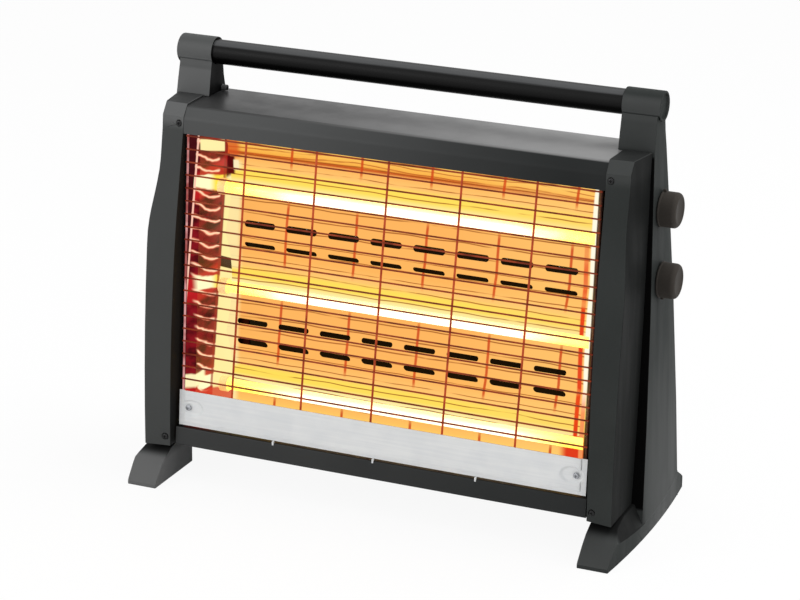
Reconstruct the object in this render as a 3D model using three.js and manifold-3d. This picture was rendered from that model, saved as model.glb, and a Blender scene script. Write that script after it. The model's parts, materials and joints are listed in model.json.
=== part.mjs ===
// Halogen bar heater: three quartz tubes in front of a slotted reflector, behind a wire grille,
// in a folded steel casing between two moulded end frames that carry the feet and the handle.
// Millimetres, +Z up. The front looks along -Y and the controls are on the +X side.
// x and y are centred on the whole object's box and z is 0 at the soles of the feet.
import * as THREE from 'three';
import { mergeVertices } from 'three/addons/utils/BufferGeometryUtils.js';
import Module from 'manifold-3d';

const wasm = await Module();
wasm.setup();

// ---------------------------------------------------------------- driving dimensions
const clearance = 0.3;          // between neighbouring pieces at rest
const overrun = 1;              // how far a cutter or a joined lump runs past the face that it meets
const through = 100;            // length of a cutter that passes right through
const sheet = 1.0;              // folded steel sheet
const mirrorSheet = 0.8;        // polished aluminium sheet
const mouldWall = 3.0;          // wall of the plastic mouldings

// casing
const bodyHalfWidth = 224.7;    // half of the steel casing, between the two columns
const bodyTop = 391;            // flat top of the casing
const bodyBottom = 37;          // underside of the casing
const topDepthFront = -48;      // fold between the flat top and the bevel
const topDepthRear = 31;        // rear fold of the top
const bevelDrop = 11.5;         // height of the bevel
const bevelReach = 8;           // how far the bevel comes forward
const lipDrop = 27;             // front lip's lower edge below the flat top
const lipLean = 1;              // and in front of the lip's upper edge
const rearSlope = 14;           // the rear stands back this far more at its foot
const trayReach = 26;           // tray's front edge in front of the top cover's
const trayStripHeight = 20;     // the strip under the aluminium panel
const trayStripLean = 1.5;
const trayHem = 6;              // hem behind the strip, under the grille's feet
const rearHem = 12;             // flanges that the rear panel sits on
const openingTop = bodyTop - lipDrop;
const rearFoot = topDepthRear + rearSlope;
const trayFront = topDepthFront - bevelReach - trayReach;
const stripTop = bodyBottom + trayStripHeight;

// rear panel
const rearScrewInset = 30;      // screws in from the panel's upper and lower edge
const ventRows = [0.35, 0.48, 0.61, 0.74];     // places of the vent rows up the panel
const ventCount = 7;            // vents in each row
const ventMargin = 30;          // plain border at each end of a row
const ventLength = 40;
const ventHeight = 7;
const inletInset = 44.7;        // cord inlet in from the casing's left end
const inletRise = 29;           // and above its underside
const inletRadius = 7;
const inletBore = 3.6;
const inletFlange = 10;         // radius of its flange
const inletFlangeHeight = 3;
const inletDepth = 7;           // part of the bush inside the casing
const inletLength = 9;          // part outside
const inletTaper = 1;
const inletX = -(bodyHalfWidth - inletInset);
const inletZ = bodyBottom + inletRise;

// wire grille and aluminium panel
const grilleTopY = topDepthFront - bevelReach; // plane of the grille's bars at the opening's top
const grilleLean = 0.067;       // its forward lean towards the bottom, per mm of height
const grilleInset = 3.7;        // bars' ends in from the casing's ends
const wireRadius = 1.1;
const wireWeld = 0.45;          // how far crossing wires are sunk into each other
const wireSides = 4;
const barCount = 21;            // horizontal wires
const barInset = 2;             // top bar under the lip
const barOverlap = 1.5;         // lowest bar below the panel's upper edge
const uprightCount = 5;         // vertical wires between the end wires
const uprightMargin = 66;       // outermost of them in from the bars' ends
const uprightHook = 8;          // length of the uprights behind the lip
const uprightSlant = 0.035;     // their lean to the left towards the foot, per mm of height
                                // (the two end wires stay plumb)
const panelRise = 59;           // upper edge of the aluminium panel above the underside
const panelEndGap = 2;          // between the panel's ends and the columns
const lowerPanelGap = 1.5;      // between the panel and the strip of the tray
const panelScrewRise = 41;      // panel screws above the underside
const embossLength = 24;
const embossWidth = 15;
const embossDepth = 1.2;
const embossInset = 4;          // middle of the emboss in from its screw
const grilleHalfWidth = bodyHalfWidth - grilleInset;
const lowerPanelTop = bodyBottom + panelRise;
const panelScrewZ = bodyBottom + panelScrewRise;

// reflector and its end plates
const endPlateInset = 12.7;     // inner face of the end plates in from the casing's ends
const splay = 8;                // front flange, turned outwards by 45 degrees
const endPlateSetback = 2;      // flange tip behind the grille's plane
const rearFlange = 13;
const rearScrewFlange = 6;      // rear screws in from the end plates
const tabBorder = 3;            // edge of the screw tab round the emboss
const tabLength = 9;
const tabArm = 20;
const troughInset = 7;          // deepest line of each trough in front of the casing's rear fold
const troughRise = 14;          // from there to the ridge between two troughs
const reflectorDrop = 23;       // troughs' upper end under the lip
const reflectorRise = 15;       // and their lower end above the underside
const deflectorGap = 6;         // upper edge of the reflector behind the grille
const deflectorDrop = 2;
const reflectorFootGap = 9;
const reflectorFootRise = 2;
const slotRowOffset = 11.3;     // slot rows above and below each ridge
const slotCount = 8;
const slotMargin = 22.4;        // plain border at each end of a row, if it were in the middle
const slotStep = 9;             // each pair of rows starts this far to the left of the one above it
const slotLength = 33;
const slotHeight = 6;
const endPlateX = bodyHalfWidth - endPlateInset;
const panelScrewX = endPlateX;
const rearScrewX = endPlateX - rearScrewFlange;
const troughFloorY = topDepthRear - troughInset;
const reflectorTop = openingTop - reflectorDrop;
const reflectorBottom = bodyBottom + reflectorRise;

// quartz tubes
const tubeCount = 3;
const tubeDrop = 68;            // top tube under the lip
const tubeRise = 43;            // bottom tube above the underside
const tubeStandoff = 26;        // tubes in front of the troughs' deepest line
const tubeRadius = 6;
const tubeWall = 1;
const tubeInset = 3;            // tubes' ends in from the end plates
const coilRadius = 3.2;
const coilWire = 0.8;           // radius of the heating wire
const coilTurns = 18;
const coilSteps = 8;
const coilSides = 5;
const coilLead = 16;            // plain wire between the coil and the tube's end
const coilTail = 2;             // wire beyond the cap's neck
const capRadius = 8.5;          // ceramic end cap
const capLength = 9;            // its length over the tube
const capNeckRadius = 6.5;
const capNeckInset = 2.7;       // outer end of its neck in from the casing's ends
const tubeY = troughFloorY - tubeStandoff;
const tubeHalfLength = endPlateX - tubeInset;
const capNeckEnd = bodyHalfWidth - capNeckInset;

// front columns of the end frames
const columnWidth = 29;
const columnProud = 2;          // above the casing's top
const columnBottomProud = 6;    // front face at its lower end in front of the tray
const columnTopProud = 12;      // and at the start of its bevel in front of the casing's fold
const columnBow = 7.5;          // how far the face bows forward between them
const columnBevelZ = 26;        // from the top down to where the bevel starts
const columnFoldProud = 2;      // fold between bevel and flat top in front of the casing's fold
const columnMidDrop = 12;
const columnMidProud = 11;
const columnRake = 0.14;        // the face falls back towards the outside
const columnScrewInset = 6.3;
const seatDepth = 0.6;          // screw seats below the column's face
const columnScrewTop = 17;      // screws below the casing's top and above its underside
const columnScrewBottom = 10;
const columnBottomY = trayFront - columnBottomProud;
const columnTopY = topDepthFront - columnTopProud;
const columnFoldY = topDepthFront - columnFoldProud;
const columnMidY = topDepthFront - columnMidProud;

// handle
const handleY = 10;
const handleRise = 43;          // its axis above the casing
const handleRadius = 12.5;
const handleWall = 1.5;
const bossRadius = 15;
const bossOverhang = 5.7;       // inner end of the handle bosses in from the casing's ends
const bossLength = 39;
const bossWall = 6;             // inner wall of the upright under the boss
const handleGrip = 28;          // length of tube inside each boss
const bossRecess = 2.5;
const handleZ = bodyTop + handleRise;
const bossInner = bodyHalfWidth - bossOverhang;
const bossOuter = bossInner + bossLength;

// end frames
const frameHalfDepth = 118;     // feet, front to rear
const frameTopReach = 30.3;     // outer face of the frames out from the casing, at the handle
const frameFootReach = 42.3;    // and at the floor
const frameBow = 4.3e-4;        // outward bow of that face, per mm squared
const bowCentreY = -10;
const footInnerReach = 5.3;     // inner face of the feet out from the casing
const ledgeHeight = 5;          // ledge under the casing
const pegRadius = 3;
const pegLength = 6;
const pegY = 20;
const archFront = -35;
const archRear = 52;
const archDrop = 12;            // roof of the arch under the casing
const footRun = 58;             // from either tip to where the foot meets the casing's underside
// outlines of the feet and of the hollows in them, as [distance in from the tip, height]
const toe = [[0, 0], [0, 4], [2, 7], [7, 12], [14, 19], [24, bodyBottom - 10], [36, bodyBottom - 4]];
const heel = [[30, bodyBottom - 7], [23, bodyBottom - 11], [7, 17], [1, 13], [0, 11], [0, 0]];
const toeHollow = [[12, 3], [16, 13], [26, bodyBottom - 15], [38, bodyBottom - 9]];
const heelHollow = [[10, 3], [10, 10], [25, 20], [34, bodyBottom - 10]];
const toeHollowRun = 100;       // the front hollow ends this far in from the tip
const heelHollowRun = 38;
const shoulderHeight = 14;      // start of the chamfer along the top of the feet
const shoulderWidth = 12;
const frameTopX = bodyHalfWidth + frameTopReach;
const frameFootX = bodyHalfWidth + frameFootReach;
const footInnerX = bodyHalfWidth + footInnerReach;
const archTop = bodyBottom - archDrop;

// controls
const knobY = 14;
const knobDrop = [60, 132];     // knobs' axes below the casing's top
const knobRadius = 18.5;
const knobLength = 18;
const knobEdge = 3;
const knobWall = 3;
const knobFlange = 1;           // rim of the knob beyond its grip
const knobFlangeHeight = 1.5;
const knobSkirt = 4;            // depth of the hollow under the knob
const knobStandoff = 1;
const shankGap = 2;             // plastic between the shaft's bore and the rounded edge
const pointerWidth = 4;         // tab on the rim that points to the setting
const pointerHeight = 3.5;
const pointerReach = 2.5;
const shaftRadius = 3;
const shaftEngagement = 9;      // length of shaft inside the switch
const switchSize = 28;
const switchDepth = 20;
const switchGap = 1.2;          // between the switch and the frame's wall
const bushRadius = 5;
const bushProud = 1;            // bush beyond its nut
const nutRadius = 8;
const nutHeight = 2.5;
const nutGap = 0.45;            // between the nut and the bowed outer face
const knobZ = knobDrop.map((drop) => bodyTop - drop);
const switchFace = mouldWall + switchGap;
const bushEnd = nutHeight + bushProud;

// screws
const screwShank = 1.5;
const screwHead = 3.2;
const screwHeadHeight = 1.8;
const screwLength = 8;
const columnScrewLength = 14;

// parts on the end plate and in the hollow of the right frame
const terminalSize = [10, 32, 18];
const terminalY = 12;
const terminalRise = 25;        // above the casing's underside
const cutoutRadius = 8;
const cutoutHeight = 5;
const cutoutStem = 4;
const cutoutLength = 8;
const cutoutY = 16;
const cutoutDrop = 51;          // below the casing's top
const tipReach = 18.3;          // tip switch out from the casing
const tipY = 25;
const tipPivotHeight = 42;      // above the floor of the frame
const tipBob = 9;
const tipBobDrop = 22;
const tipWidth = 8;
const tipArm = 3;
const tipHub = 4;
const tipPin = 1.5;
const tipEarGap = 2;            // between the pendulum and each ear
const tipPlate = 2;             // thickness of the ears and of the base
const tipEarFront = 11;
const tipEarRear = 23;
const tipBaseFlange = 4;
const tipEarTop = 5;
const microSize = [6, 11, 12];
const microY = 10;
const microRise = 29.8;
const tipX = bodyHalfWidth + tipReach;

// ---------------------------------------------------------------- solids
const finish = {
  steel: [0x4a4d4c, 0.45, 0.25],
  plastic: [0x3c3f3e, 0.6, 0],
  handle: [0x2b2d2d, 0.35, 0.1],
  knob: [0x2d2a28, 0.55, 0],
  aluminium: [0xd7d9dc, 0.3, 0.9],
  mirror: [0xe8d9c0, 0.12, 1],
  chrome: [0xb7a08a, 0.3, 1],
  quartz: [0xfff0c8, 0.1, 0],
  glow: [0xff9a2e, 0.5, 0.2],
  ceramic: [0xe9e4d8, 0.7, 0],
  zinc: [0xa9abad, 0.4, 0.9],
  brass: [0xb89a4e, 0.35, 0.9],
  black: [0x1b1c1c, 0.6, 0],
};

function solid(geometry) {
  const bare = geometry.index ? geometry.toNonIndexed() : geometry.clone();
  for (const name of Object.keys(bare.attributes)) {
    if (name !== 'position') bare.deleteAttribute(name);
  }
  const merged = mergeVertices(bare, 1e-4);
  return new wasm.Manifold(new wasm.Mesh({
    numProp: 3,
    vertProperties: new Float32Array(merged.attributes.position.array),
    triVerts: new Uint32Array(merged.index.array),
  }));
}

function geometryOf(shape) {
  const mesh = shape.getMesh();
  const geometry = new THREE.BufferGeometry();
  geometry.setAttribute('position', new THREE.BufferAttribute(new Float32Array(mesh.vertProperties), 3));
  geometry.setIndex(new THREE.BufferAttribute(new Uint32Array(mesh.triVerts), 1));
  geometry.computeVertexNormals();
  return geometry;
}

const polygon = (points) => new THREE.Shape(points.map(([a, b]) => new THREE.Vector2(a, b)));

// a y-z outline pushed along x, an x-z outline along y and an x-y outline along z
function alongX(points, x0, x1) {
  const geometry = new THREE.ExtrudeGeometry(polygon(points), { depth: x1 - x0, bevelEnabled: false });
  const turn = new THREE.Matrix4().makeBasis(
    new THREE.Vector3(0, 1, 0), new THREE.Vector3(0, 0, 1), new THREE.Vector3(1, 0, 0));
  return geometry.applyMatrix4(turn).translate(x0, 0, 0);
}

function alongY(points, y0, y1) {
  const geometry = new THREE.ExtrudeGeometry(polygon(points), { depth: y1 - y0, bevelEnabled: false });
  return geometry.rotateX(Math.PI / 2).translate(0, y1, 0);
}

function alongZ(points, z0, z1) {
  return new THREE.ExtrudeGeometry(polygon(points), { depth: z1 - z0, bevelEnabled: false })
    .translate(0, 0, z0);
}

function box(x0, x1, y0, y1, z0, z1) {
  return new THREE.BoxGeometry(x1 - x0, y1 - y0, z1 - z0)
    .translate((x0 + x1) / 2, (y0 + y1) / 2, (z0 + z1) / 2);
}

// a turned piece: [radius, distance] points about the x axis, or about the y axis, pointing along it
function turnedX(profile, x, y, z, sides = 24) {
  return new THREE.LatheGeometry(profile.map(([r, h]) => new THREE.Vector2(r, h)), sides)
    .rotateZ(-Math.PI / 2).translate(x, y, z);
}

function turnedY(profile, x, y, z, sides = 16) {
  return new THREE.LatheGeometry(profile.map(([r, h]) => new THREE.Vector2(r, h)), sides)
    .translate(x, y, z);
}

function rod(radius, length) {
  return [[0, 0], [radius, 0], [radius, length], [0, length]];
}

function pipe(outer, inner, length) {
  return [[inner, 0], [outer, 0], [outer, length], [inner, length], [inner, 0]];
}

// rings of equally many points, joined into one closed skin
function loft(outlines) {
  const flatten = (ring) => ring.map(([x, y]) => new THREE.Vector2(x, y));
  const clockwise = THREE.ShapeUtils.isClockWise(flatten(outlines[0]));
  const rings = clockwise ? outlines.map((ring) => [...ring].reverse()) : outlines;
  const count = rings[0].length;
  const flat = flatten(rings[0]);
  const cap = THREE.ShapeUtils.triangulateShape(flat, []);
  const positions = [];
  const corner = (ring, i) => positions.push(...rings[ring][i % count]);
  for (const [a, b, c] of cap) {
    corner(0, c); corner(0, b); corner(0, a);
    const last = rings.length - 1;
    corner(last, a); corner(last, b); corner(last, c);
  }
  for (let ring = 0; ring + 1 < rings.length; ring++) {
    for (let i = 0; i < count; i++) {
      corner(ring, i); corner(ring, i + 1); corner(ring + 1, i + 1);
      corner(ring, i); corner(ring + 1, i + 1); corner(ring + 1, i);
    }
  }
  const geometry = new THREE.BufferGeometry();
  geometry.setAttribute('position', new THREE.Float32BufferAttribute(positions, 3));
  return geometry;
}

// the closed outline of a sheet that follows a line of points, on its left-hand side
function folded(line, thickness) {
  const offset = line.map((point, i) => {
    const before = line[Math.max(i - 1, 0)];
    const after = line[Math.min(i + 1, line.length - 1)];
    const unit = ([ax, ay], [bx, by]) => {
      const length = Math.hypot(bx - ax, by - ay) || 1;
      return [-(by - ay) / length, (bx - ax) / length];
    };
    const first = i > 0 ? unit(before, point) : unit(point, after);
    const second = i < line.length - 1 ? unit(point, after) : first;
    const scale = thickness / (1 + first[0] * second[0] + first[1] * second[1]);
    return [point[0] + (first[0] + second[0]) * scale, point[1] + (first[1] + second[1]) * scale];
  });
  return [...line, ...offset.reverse()];
}

const between = (points, z) => {
  let i = 0;
  while (i < points.length - 2 && z > points[i + 1][0]) i++;
  const [[z0, y0], [z1, y1]] = [points[i], points[i + 1]];
  return y0 + (y1 - y0) * (z - z0) / (z1 - z0);
};

// the same piece for the other end
function mirrored(geometry) {
  const twin = geometry.clone().scale(-1, 1, 1);
  const index = twin.index;
  for (let i = 0; i < index.count; i += 3) {
    const swap = index.getX(i);
    index.setX(i, index.getX(i + 1));
    index.setX(i + 1, swap);
  }
  twin.computeVertexNormals();
  return twin;
}

// leans a piece that was drawn upright on y = 0 into the plane of the grille
function leaned(geometry) {
  const at = geometry.attributes.position;
  for (let i = 0; i < at.count; i++) at.setY(i, at.getY(i) + grilleY(at.getZ(i)));
  return geometry;
}

// ---------------------------------------------------------------- shared surfaces
const grilleY = (z) => grilleTopY - (openingTop - z) * grilleLean;
const rearY = (z) => rearFoot + (topDepthRear - rearFoot) * (z - bodyBottom) / (bodyTop - bodyBottom);
const tubeZ = Array.from({ length: tubeCount }, (_, i) => {
  const [top, bottom] = [openingTop - tubeDrop, bodyBottom + tubeRise];
  return top + (bottom - top) * i / (tubeCount - 1);
});
const columnTop = bodyTop + columnProud;
const columnInner = bodyHalfWidth + clearance;
const columnOuter = columnInner + columnWidth;

function columnFace(z) {
  const t = (z - bodyBottom) / (columnTop - columnBevelZ - bodyBottom);
  return columnBottomY + (columnTopY - columnBottomY) * t - 4 * columnBow * t * (1 - t);
}

// front and rear edges of the frame's tower, as [height, front y, rear y]
const towerEdges = [
  [0, -31, 95], [archTop + mouldWall, -29, 93], [bodyTop - 282, -22, 83], [bodyTop - 169, -14.8, 64],
  [bodyTop - 92, -12.5, 48], [openingTop, -10.7, 33.6], [bodyTop, -10, 28],
  [bodyTop + 16, -7, 24], [handleZ, -1, 21],
];
const towerFront = (z) => between(towerEdges.map(([height, front]) => [height, front]), z);
const towerRear = (z) => between(towerEdges.map(([height, , rear]) => [height, rear]), z);
const towerHeights = (from, to) => [
  from, ...towerEdges.map(([height]) => height).filter((z) => z > from && z < to), to];

function frameX(y, z) {
  const lean = (frameFootX - frameTopX) * (1 - Math.min(z / handleZ, 1));
  return frameTopX + lean - frameBow * (y - bowCentreY) ** 2;
}

// ---------------------------------------------------------------- sub-parts
function topCover() {
  const lipY = topDepthFront - bevelReach;
  const line = [
    [lipY - lipLean, openingTop], [lipY, bodyTop - bevelDrop], [topDepthFront, bodyTop],
    [topDepthRear, bodyTop],
    [rearY(bodyTop - rearHem), bodyTop - rearHem],
  ];
  return solid(alongX(folded(line.reverse(), sheet), -bodyHalfWidth, bodyHalfWidth));
}

function bottomTray() {
  const line = [
    [trayFront + trayStripLean + trayHem, stripTop], [trayFront + trayStripLean, stripTop],
    [trayFront, bodyBottom], [rearFoot, bodyBottom], [rearY(bodyBottom + rearHem), bodyBottom + rearHem],
  ];
  return solid(alongX(folded(line, sheet), -bodyHalfWidth, bodyHalfWidth));
}

const rearTop = bodyTop - sheet - clearance;
const rearBottom = bodyBottom + sheet + clearance;
const rearScrewZ = [rearTop - rearScrewInset, rearBottom + rearScrewInset];
const rearOuterY = (z) => rearY(z) - sheet - clearance;

function rearPanel() {
  const outline = [
    [rearOuterY(rearBottom), rearBottom], [rearOuterY(rearTop), rearTop],
    [rearOuterY(rearTop) - sheet, rearTop], [rearOuterY(rearBottom) - sheet, rearBottom],
  ];
  let panel = solid(alongX(outline, -bodyHalfWidth, bodyHalfWidth));
  const ventPitch = 2 * (bodyHalfWidth - ventMargin) / ventCount;
  for (const share of ventRows) {
    const z = rearBottom + share * (rearTop - rearBottom);
    for (let i = 0; i < ventCount; i++) {
      const x = (i - (ventCount - 1) / 2) * ventPitch;
      const vent = new THREE.BoxGeometry(ventLength, through, ventHeight).translate(x, rearFoot, z);
      panel = panel.subtract(solid(vent));
    }
  }
  for (const side of [-1, 1]) {
    for (const z of rearScrewZ) panel = panel.subtract(screwHole(side * rearScrewX, 0, z, through));
  }
  const hole = solid(turnedY(rod(inletRadius + clearance, through), inletX, 0, inletZ, 20));
  return panel.subtract(hole);
}

function screwHole(x, y, z, length) {
  return solid(turnedY(rod(screwShank + clearance, length), x, y, z, 12));
}

const panelBack = -wireRadius - clearance;     // in the leaned frame of the grille
const panelFront = panelBack - sheet;
const dishBack = panelFront + embossDepth + sheet;
const tabFront = dishBack + clearance;

function stadium(length, width, x, z, steps = 6) {
  const points = [];
  for (const [side, start] of [[1, -Math.PI / 2], [-1, Math.PI / 2]]) {
    for (let i = 0; i <= steps; i++) {
      const angle = start + Math.PI * i / steps;
      const centre = side * (length - width) / 2;
      points.push([x + centre + width / 2 * Math.cos(angle), z + width / 2 * Math.sin(angle)]);
    }
  }
  return points;
}

function lowerPanel() {
  const bottom = stripTop + lowerPanelGap;
  const half = bodyHalfWidth - panelEndGap;
  let panel = solid(leaned(box(-half, half, panelFront, panelBack, bottom, lowerPanelTop)));
  for (const side of [-1, 1]) {
    const x = side * (panelScrewX - embossInset);
    const rim = stadium(embossLength, embossWidth, x, panelScrewZ);
    const floor = stadium(embossLength - 2 * sheet, embossWidth - 2 * sheet, x, panelScrewZ);
    const dish = alongY(rim, panelBack - sheet / 2, dishBack);
    const hollow = alongY(floor, panelFront - overrun, panelFront + embossDepth);
    panel = panel.add(solid(leaned(dish))).subtract(solid(leaned(hollow)));
    panel = panel.subtract(
      screwHole(side * panelScrewX, grilleY(panelScrewZ) - screwLength, panelScrewZ, 2 * screwLength));
  }
  return panel;
}

function endPlate() {
  const bottom = bodyBottom + sheet + clearance;
  const top = bodyTop - sheet - clearance;
  const ring = (z) => {
    const tip = grilleY(z) + 3 * wireRadius + endPlateSetback;
    const rear = rearOuterY(z) - sheet - clearance;
    const line = [
      [endPlateX - rearFlange, rear - sheet], [endPlateX, rear - sheet],
      [endPlateX, tip + splay], [endPlateX + splay, tip],
    ];
    return folded(line, sheet).map(([x, y]) => [x, y, z]);
  };
  const outside = endPlateX + sheet + clearance / 10;
  const far = endPlateX + splay + rearFlange;
  let plate = solid(loft([ring(bottom), ring(top)]));
  const notches = [[openingTop - 2 * clearance, top + overrun], [bottom - overrun, stripTop + overrun]];
  for (const [low, high] of notches) {
    plate = plate.subtract(solid(box(outside, far, trayFront - overrun, 0, low, high)));
  }
  // the tab behind the aluminium panel's screw
  const tabBottom = panelScrewZ - embossWidth / 2 - tabBorder;
  const tabTop = panelScrewZ + embossWidth / 2 + tabBorder;
  const tab = leaned(box(panelScrewX - tabLength, outside, tabFront, tabFront + sheet, tabBottom, tabTop));
  const arm = leaned(box(endPlateX, outside, tabFront, tabFront + tabArm, tabBottom, tabTop));
  plate = plate.add(solid(tab)).add(solid(arm));
  const screwStart = grilleY(panelScrewZ) + dishBack - overrun;
  plate = plate.subtract(screwHole(panelScrewX, screwStart, panelScrewZ, screwLength));
  for (const z of tubeZ) {
    const hole = turnedX(rod(capNeckRadius + clearance, through), endPlateX - overrun, tubeY, z, 20);
    plate = plate.subtract(solid(hole));
  }
  for (const z of rearScrewZ) plate = plate.subtract(screwHole(rearScrewX, 0, z, through));
  return plate;
}

function reflector() {
  const pitch = (tubeZ[0] - tubeZ[tubeZ.length - 1]) / (tubeZ.length - 1);
  const depthAt = (z) => {
    const nearest = tubeZ.reduce((a, b) => (Math.abs(b - z) < Math.abs(a - z) ? b : a));
    return troughFloorY - troughRise * ((z - nearest) / (pitch / 2)) ** 2;
  };
  const line = [[grilleY(openingTop) + deflectorGap, openingTop - deflectorDrop]];
  const steps = 14;
  for (let i = 0; i <= steps; i++) {
    const z = reflectorTop + (reflectorBottom - reflectorTop) * i / steps;
    line.push([depthAt(z), z]);
  }
  line.push([grilleY(reflectorBottom) + reflectorFootGap, stripTop + reflectorFootRise]);
  const half = endPlateX - clearance;
  let shape = solid(alongX(folded(line, mirrorSheet), -half, half));
  const slotPitch = 2 * (endPlateX - slotMargin) / slotCount;
  for (let k = 0; k + 1 < tubeZ.length; k++) {
    const ridge = (tubeZ[k] + tubeZ[k + 1]) / 2;
    for (const z of [ridge + slotRowOffset, ridge - slotRowOffset]) {
      for (let i = 0; i < slotCount; i++) {
        const x = (i - (slotCount - 1) / 2) * slotPitch - (k + 1) * slotStep;
        const slot = alongY(stadium(slotLength, slotHeight, x, z, 3), tubeY, troughFloorY + overrun);
        shape = shape.subtract(solid(slot));
      }
    }
  }
  return shape;
}

function wire(length) {
  return new THREE.CylinderGeometry(wireRadius, wireRadius, length, wireSides);
}

function grille() {
  const top = openingTop - barInset;
  const bottom = lowerPanelTop - barOverlap;
  const pitch = (top - bottom) / (barCount - 1);
  const behind = 2 * wireRadius - wireWeld;
  const upper = openingTop + uprightHook;
  const lower = stripTop + clearance;
  const uprightPitch = 2 * (grilleHalfWidth - uprightMargin) / (uprightCount - 1);
  const ends = [];               // [x at the top bar, lower end, slant] of each upright
  for (const side of [-1, 1]) {
    ends.push([side * (grilleHalfWidth - wireRadius), bottom - 2 * wireRadius, 0]);
  }
  for (let k = 0; k < uprightCount; k++) {
    ends.push([(k - (uprightCount - 1) / 2) * uprightPitch, lower, uprightSlant]);
  }
  const uprights = ends.map(([x, from, slant]) => {
    const upright = wire(upper - from).rotateX(Math.PI / 2).translate(x, behind, (upper + from) / 2);
    const at = upright.attributes.position;
    for (let i = 0; i < at.count; i++) at.setX(i, at.getX(i) - slant * (top - at.getZ(i)));
    return solid(leaned(upright));
  });
  let shape = null;
  for (let i = 0; i < barCount; i++) {
    const bar = wire(2 * grilleHalfWidth).rotateZ(Math.PI / 2);
    const placed = solid(leaned(bar.translate(0, 0, top - i * pitch)));
    shape = shape ? shape.add(placed) : placed;
  }
  return uprights.reduce((all, upright) => all.add(upright), shape);
}

// the heating wire: plain leads on the tube's axis and a coil between them
class CoilPath extends THREE.Curve {
  constructor() {
    super();
    this.halfLength = capNeckEnd + coilTail;
    this.halfCoil = tubeHalfLength - coilLead;
  }

  getPoint(t, target = new THREE.Vector3()) {
    const x = this.halfLength * (2 * t - 1);
    const inside = Math.max(this.halfCoil - Math.abs(x), 0);
    const pitch = 2 * this.halfCoil / coilTurns;
    const angle = 2 * Math.PI * (x + this.halfCoil) / pitch;
    const radius = coilRadius * Math.min(inside / (pitch / 2), 1);
    return target.set(x, radius * Math.cos(angle), radius * Math.sin(angle));
  }
}

function heatingCoil() {
  const path = new CoilPath();
  const section = [];
  for (let i = 0; i < coilSides; i++) {
    const angle = 2 * Math.PI * i / coilSides;
    section.push([coilWire * Math.cos(angle), coilWire * Math.sin(angle)]);
  }
  const pitch = 2 * path.halfCoil / coilTurns;
  const turn = Math.hypot(2 * Math.PI * coilRadius, pitch);
  const steps = Math.round(path.getLength() / turn * coilSteps);
  const geometry = new THREE.ExtrudeGeometry(polygon(section), {
    steps, extrudePath: path, bevelEnabled: false, curveSegments: 1,
  });
  return geometry;
}

function coilGap() {
  const path = new CoilPath();
  const count = 1600;
  const points = path.getSpacedPoints(count);
  const spacing = path.getLength() / count;
  const apart = Math.ceil(Math.PI * coilRadius / spacing);
  let least = Infinity;
  for (let i = 0; i < points.length; i++) {
    for (let j = i + apart; j < points.length; j++) {
      least = Math.min(least, points[i].distanceTo(points[j]));
    }
  }
  return least - 2 * coilWire;
}

function ceramicCap() {
  const bore = tubeRadius + clearance;
  const seat = tubeHalfLength - (endPlateX - clearance - capLength) + clearance;
  const neckLength = capNeckEnd - (endPlateX - clearance - capLength);
  const pin = coilWire + clearance;
  return turnedX([
    [bore, 0], [capRadius, 0], [capRadius, capLength], [capNeckRadius, capLength],
    [capNeckRadius, neckLength], [pin, neckLength], [pin, seat], [bore, seat], [bore, 0],
  ], 0, 0, 0, 12);
}

function column() {
  const steps = 8;
  const bevelStart = columnTop - columnBevelZ;
  const front = [];
  for (let i = 0; i <= steps; i++) {
    const z = bodyBottom + (bevelStart - bodyBottom) * i / steps;
    front.push([columnFace(z), z]);
  }
  front.push([columnMidY, columnTop - columnMidDrop], [columnFoldY, columnTop]);
  const rear = (from, to, gap) => towerHeights(from, to).reverse().map((z) => [towerFront(z) - gap, z]);
  const raked = (geometry) => {
    const at = geometry.attributes.position;
    for (let i = 0; i < at.count; i++) {
      const isFront = at.getY(i) < columnFoldY + mouldWall + overrun;
      if (isFront) at.setY(i, at.getY(i) + columnRake * (at.getX(i) - columnInner));
    }
    return geometry;
  };
  const outline = [...front, ...rear(bodyBottom, columnTop, clearance)];
  let shape = solid(raked(alongX(outline, columnInner, columnOuter)));
  const wall = mouldWall;
  const innerFront = front.map(([y, z]) => [
    y + wall, Math.min(Math.max(z, bodyBottom + wall), columnTop - wall)]);
  const inside = [...innerFront, ...rear(bodyBottom + wall, columnTop - wall, -overrun)];
  const hollow = raked(alongX(inside, columnInner + wall, columnOuter - wall));
  shape = shape.subtract(solid(hollow));
  for (const z of columnScrewZ) {
    const seat = columnSeat(z);
    const room = rod(screwHead + clearance, columnScrewLength);
    shape = shape.subtract(solid(turnedY(room, columnScrewX, seat - columnScrewLength, z, 16)));
    shape = shape.subtract(screwHole(columnScrewX, seat - overrun, z, columnScrewLength));
  }
  return shape;
}

const columnScrewX = bodyHalfWidth + columnScrewInset;
const columnScrewZ = [bodyTop - columnScrewTop, bodyBottom + columnScrewBottom];
const postRadius = columnScrewX - columnInner - mouldWall - clearance;

// depth of the column's front face at one height, x away from its inner edge
function columnFaceAt(x, z) {
  const bevelStart = columnTop - columnBevelZ;
  const share = Math.max(z - bevelStart, 0) / (columnBevelZ - columnMidDrop);
  const face = columnFace(Math.min(z, bevelStart)) + share * (columnMidY - columnTopY);
  return face + columnRake * x;
}

// depth of the flat seat under a column screw's head
const columnSeat = (z) => columnFaceAt(columnScrewX + screwHead - columnInner, z) + seatDepth;

// outline of the tower at one height, from its inner front edge round the bowed outer face
function towerRing(z, inner, inset = 0) {
  const front = towerFront(z) + inset;
  const rear = towerRear(z) - inset;
  const steps = 6;
  const ring = [[inner, front, z]];
  for (let i = 0; i <= steps; i++) {
    const y = front + (rear - front) * i / steps;
    ring.push([frameX(y, z) - inset, y, z]);
  }
  ring.push([inner, rear, z]);
  return ring;
}

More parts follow.
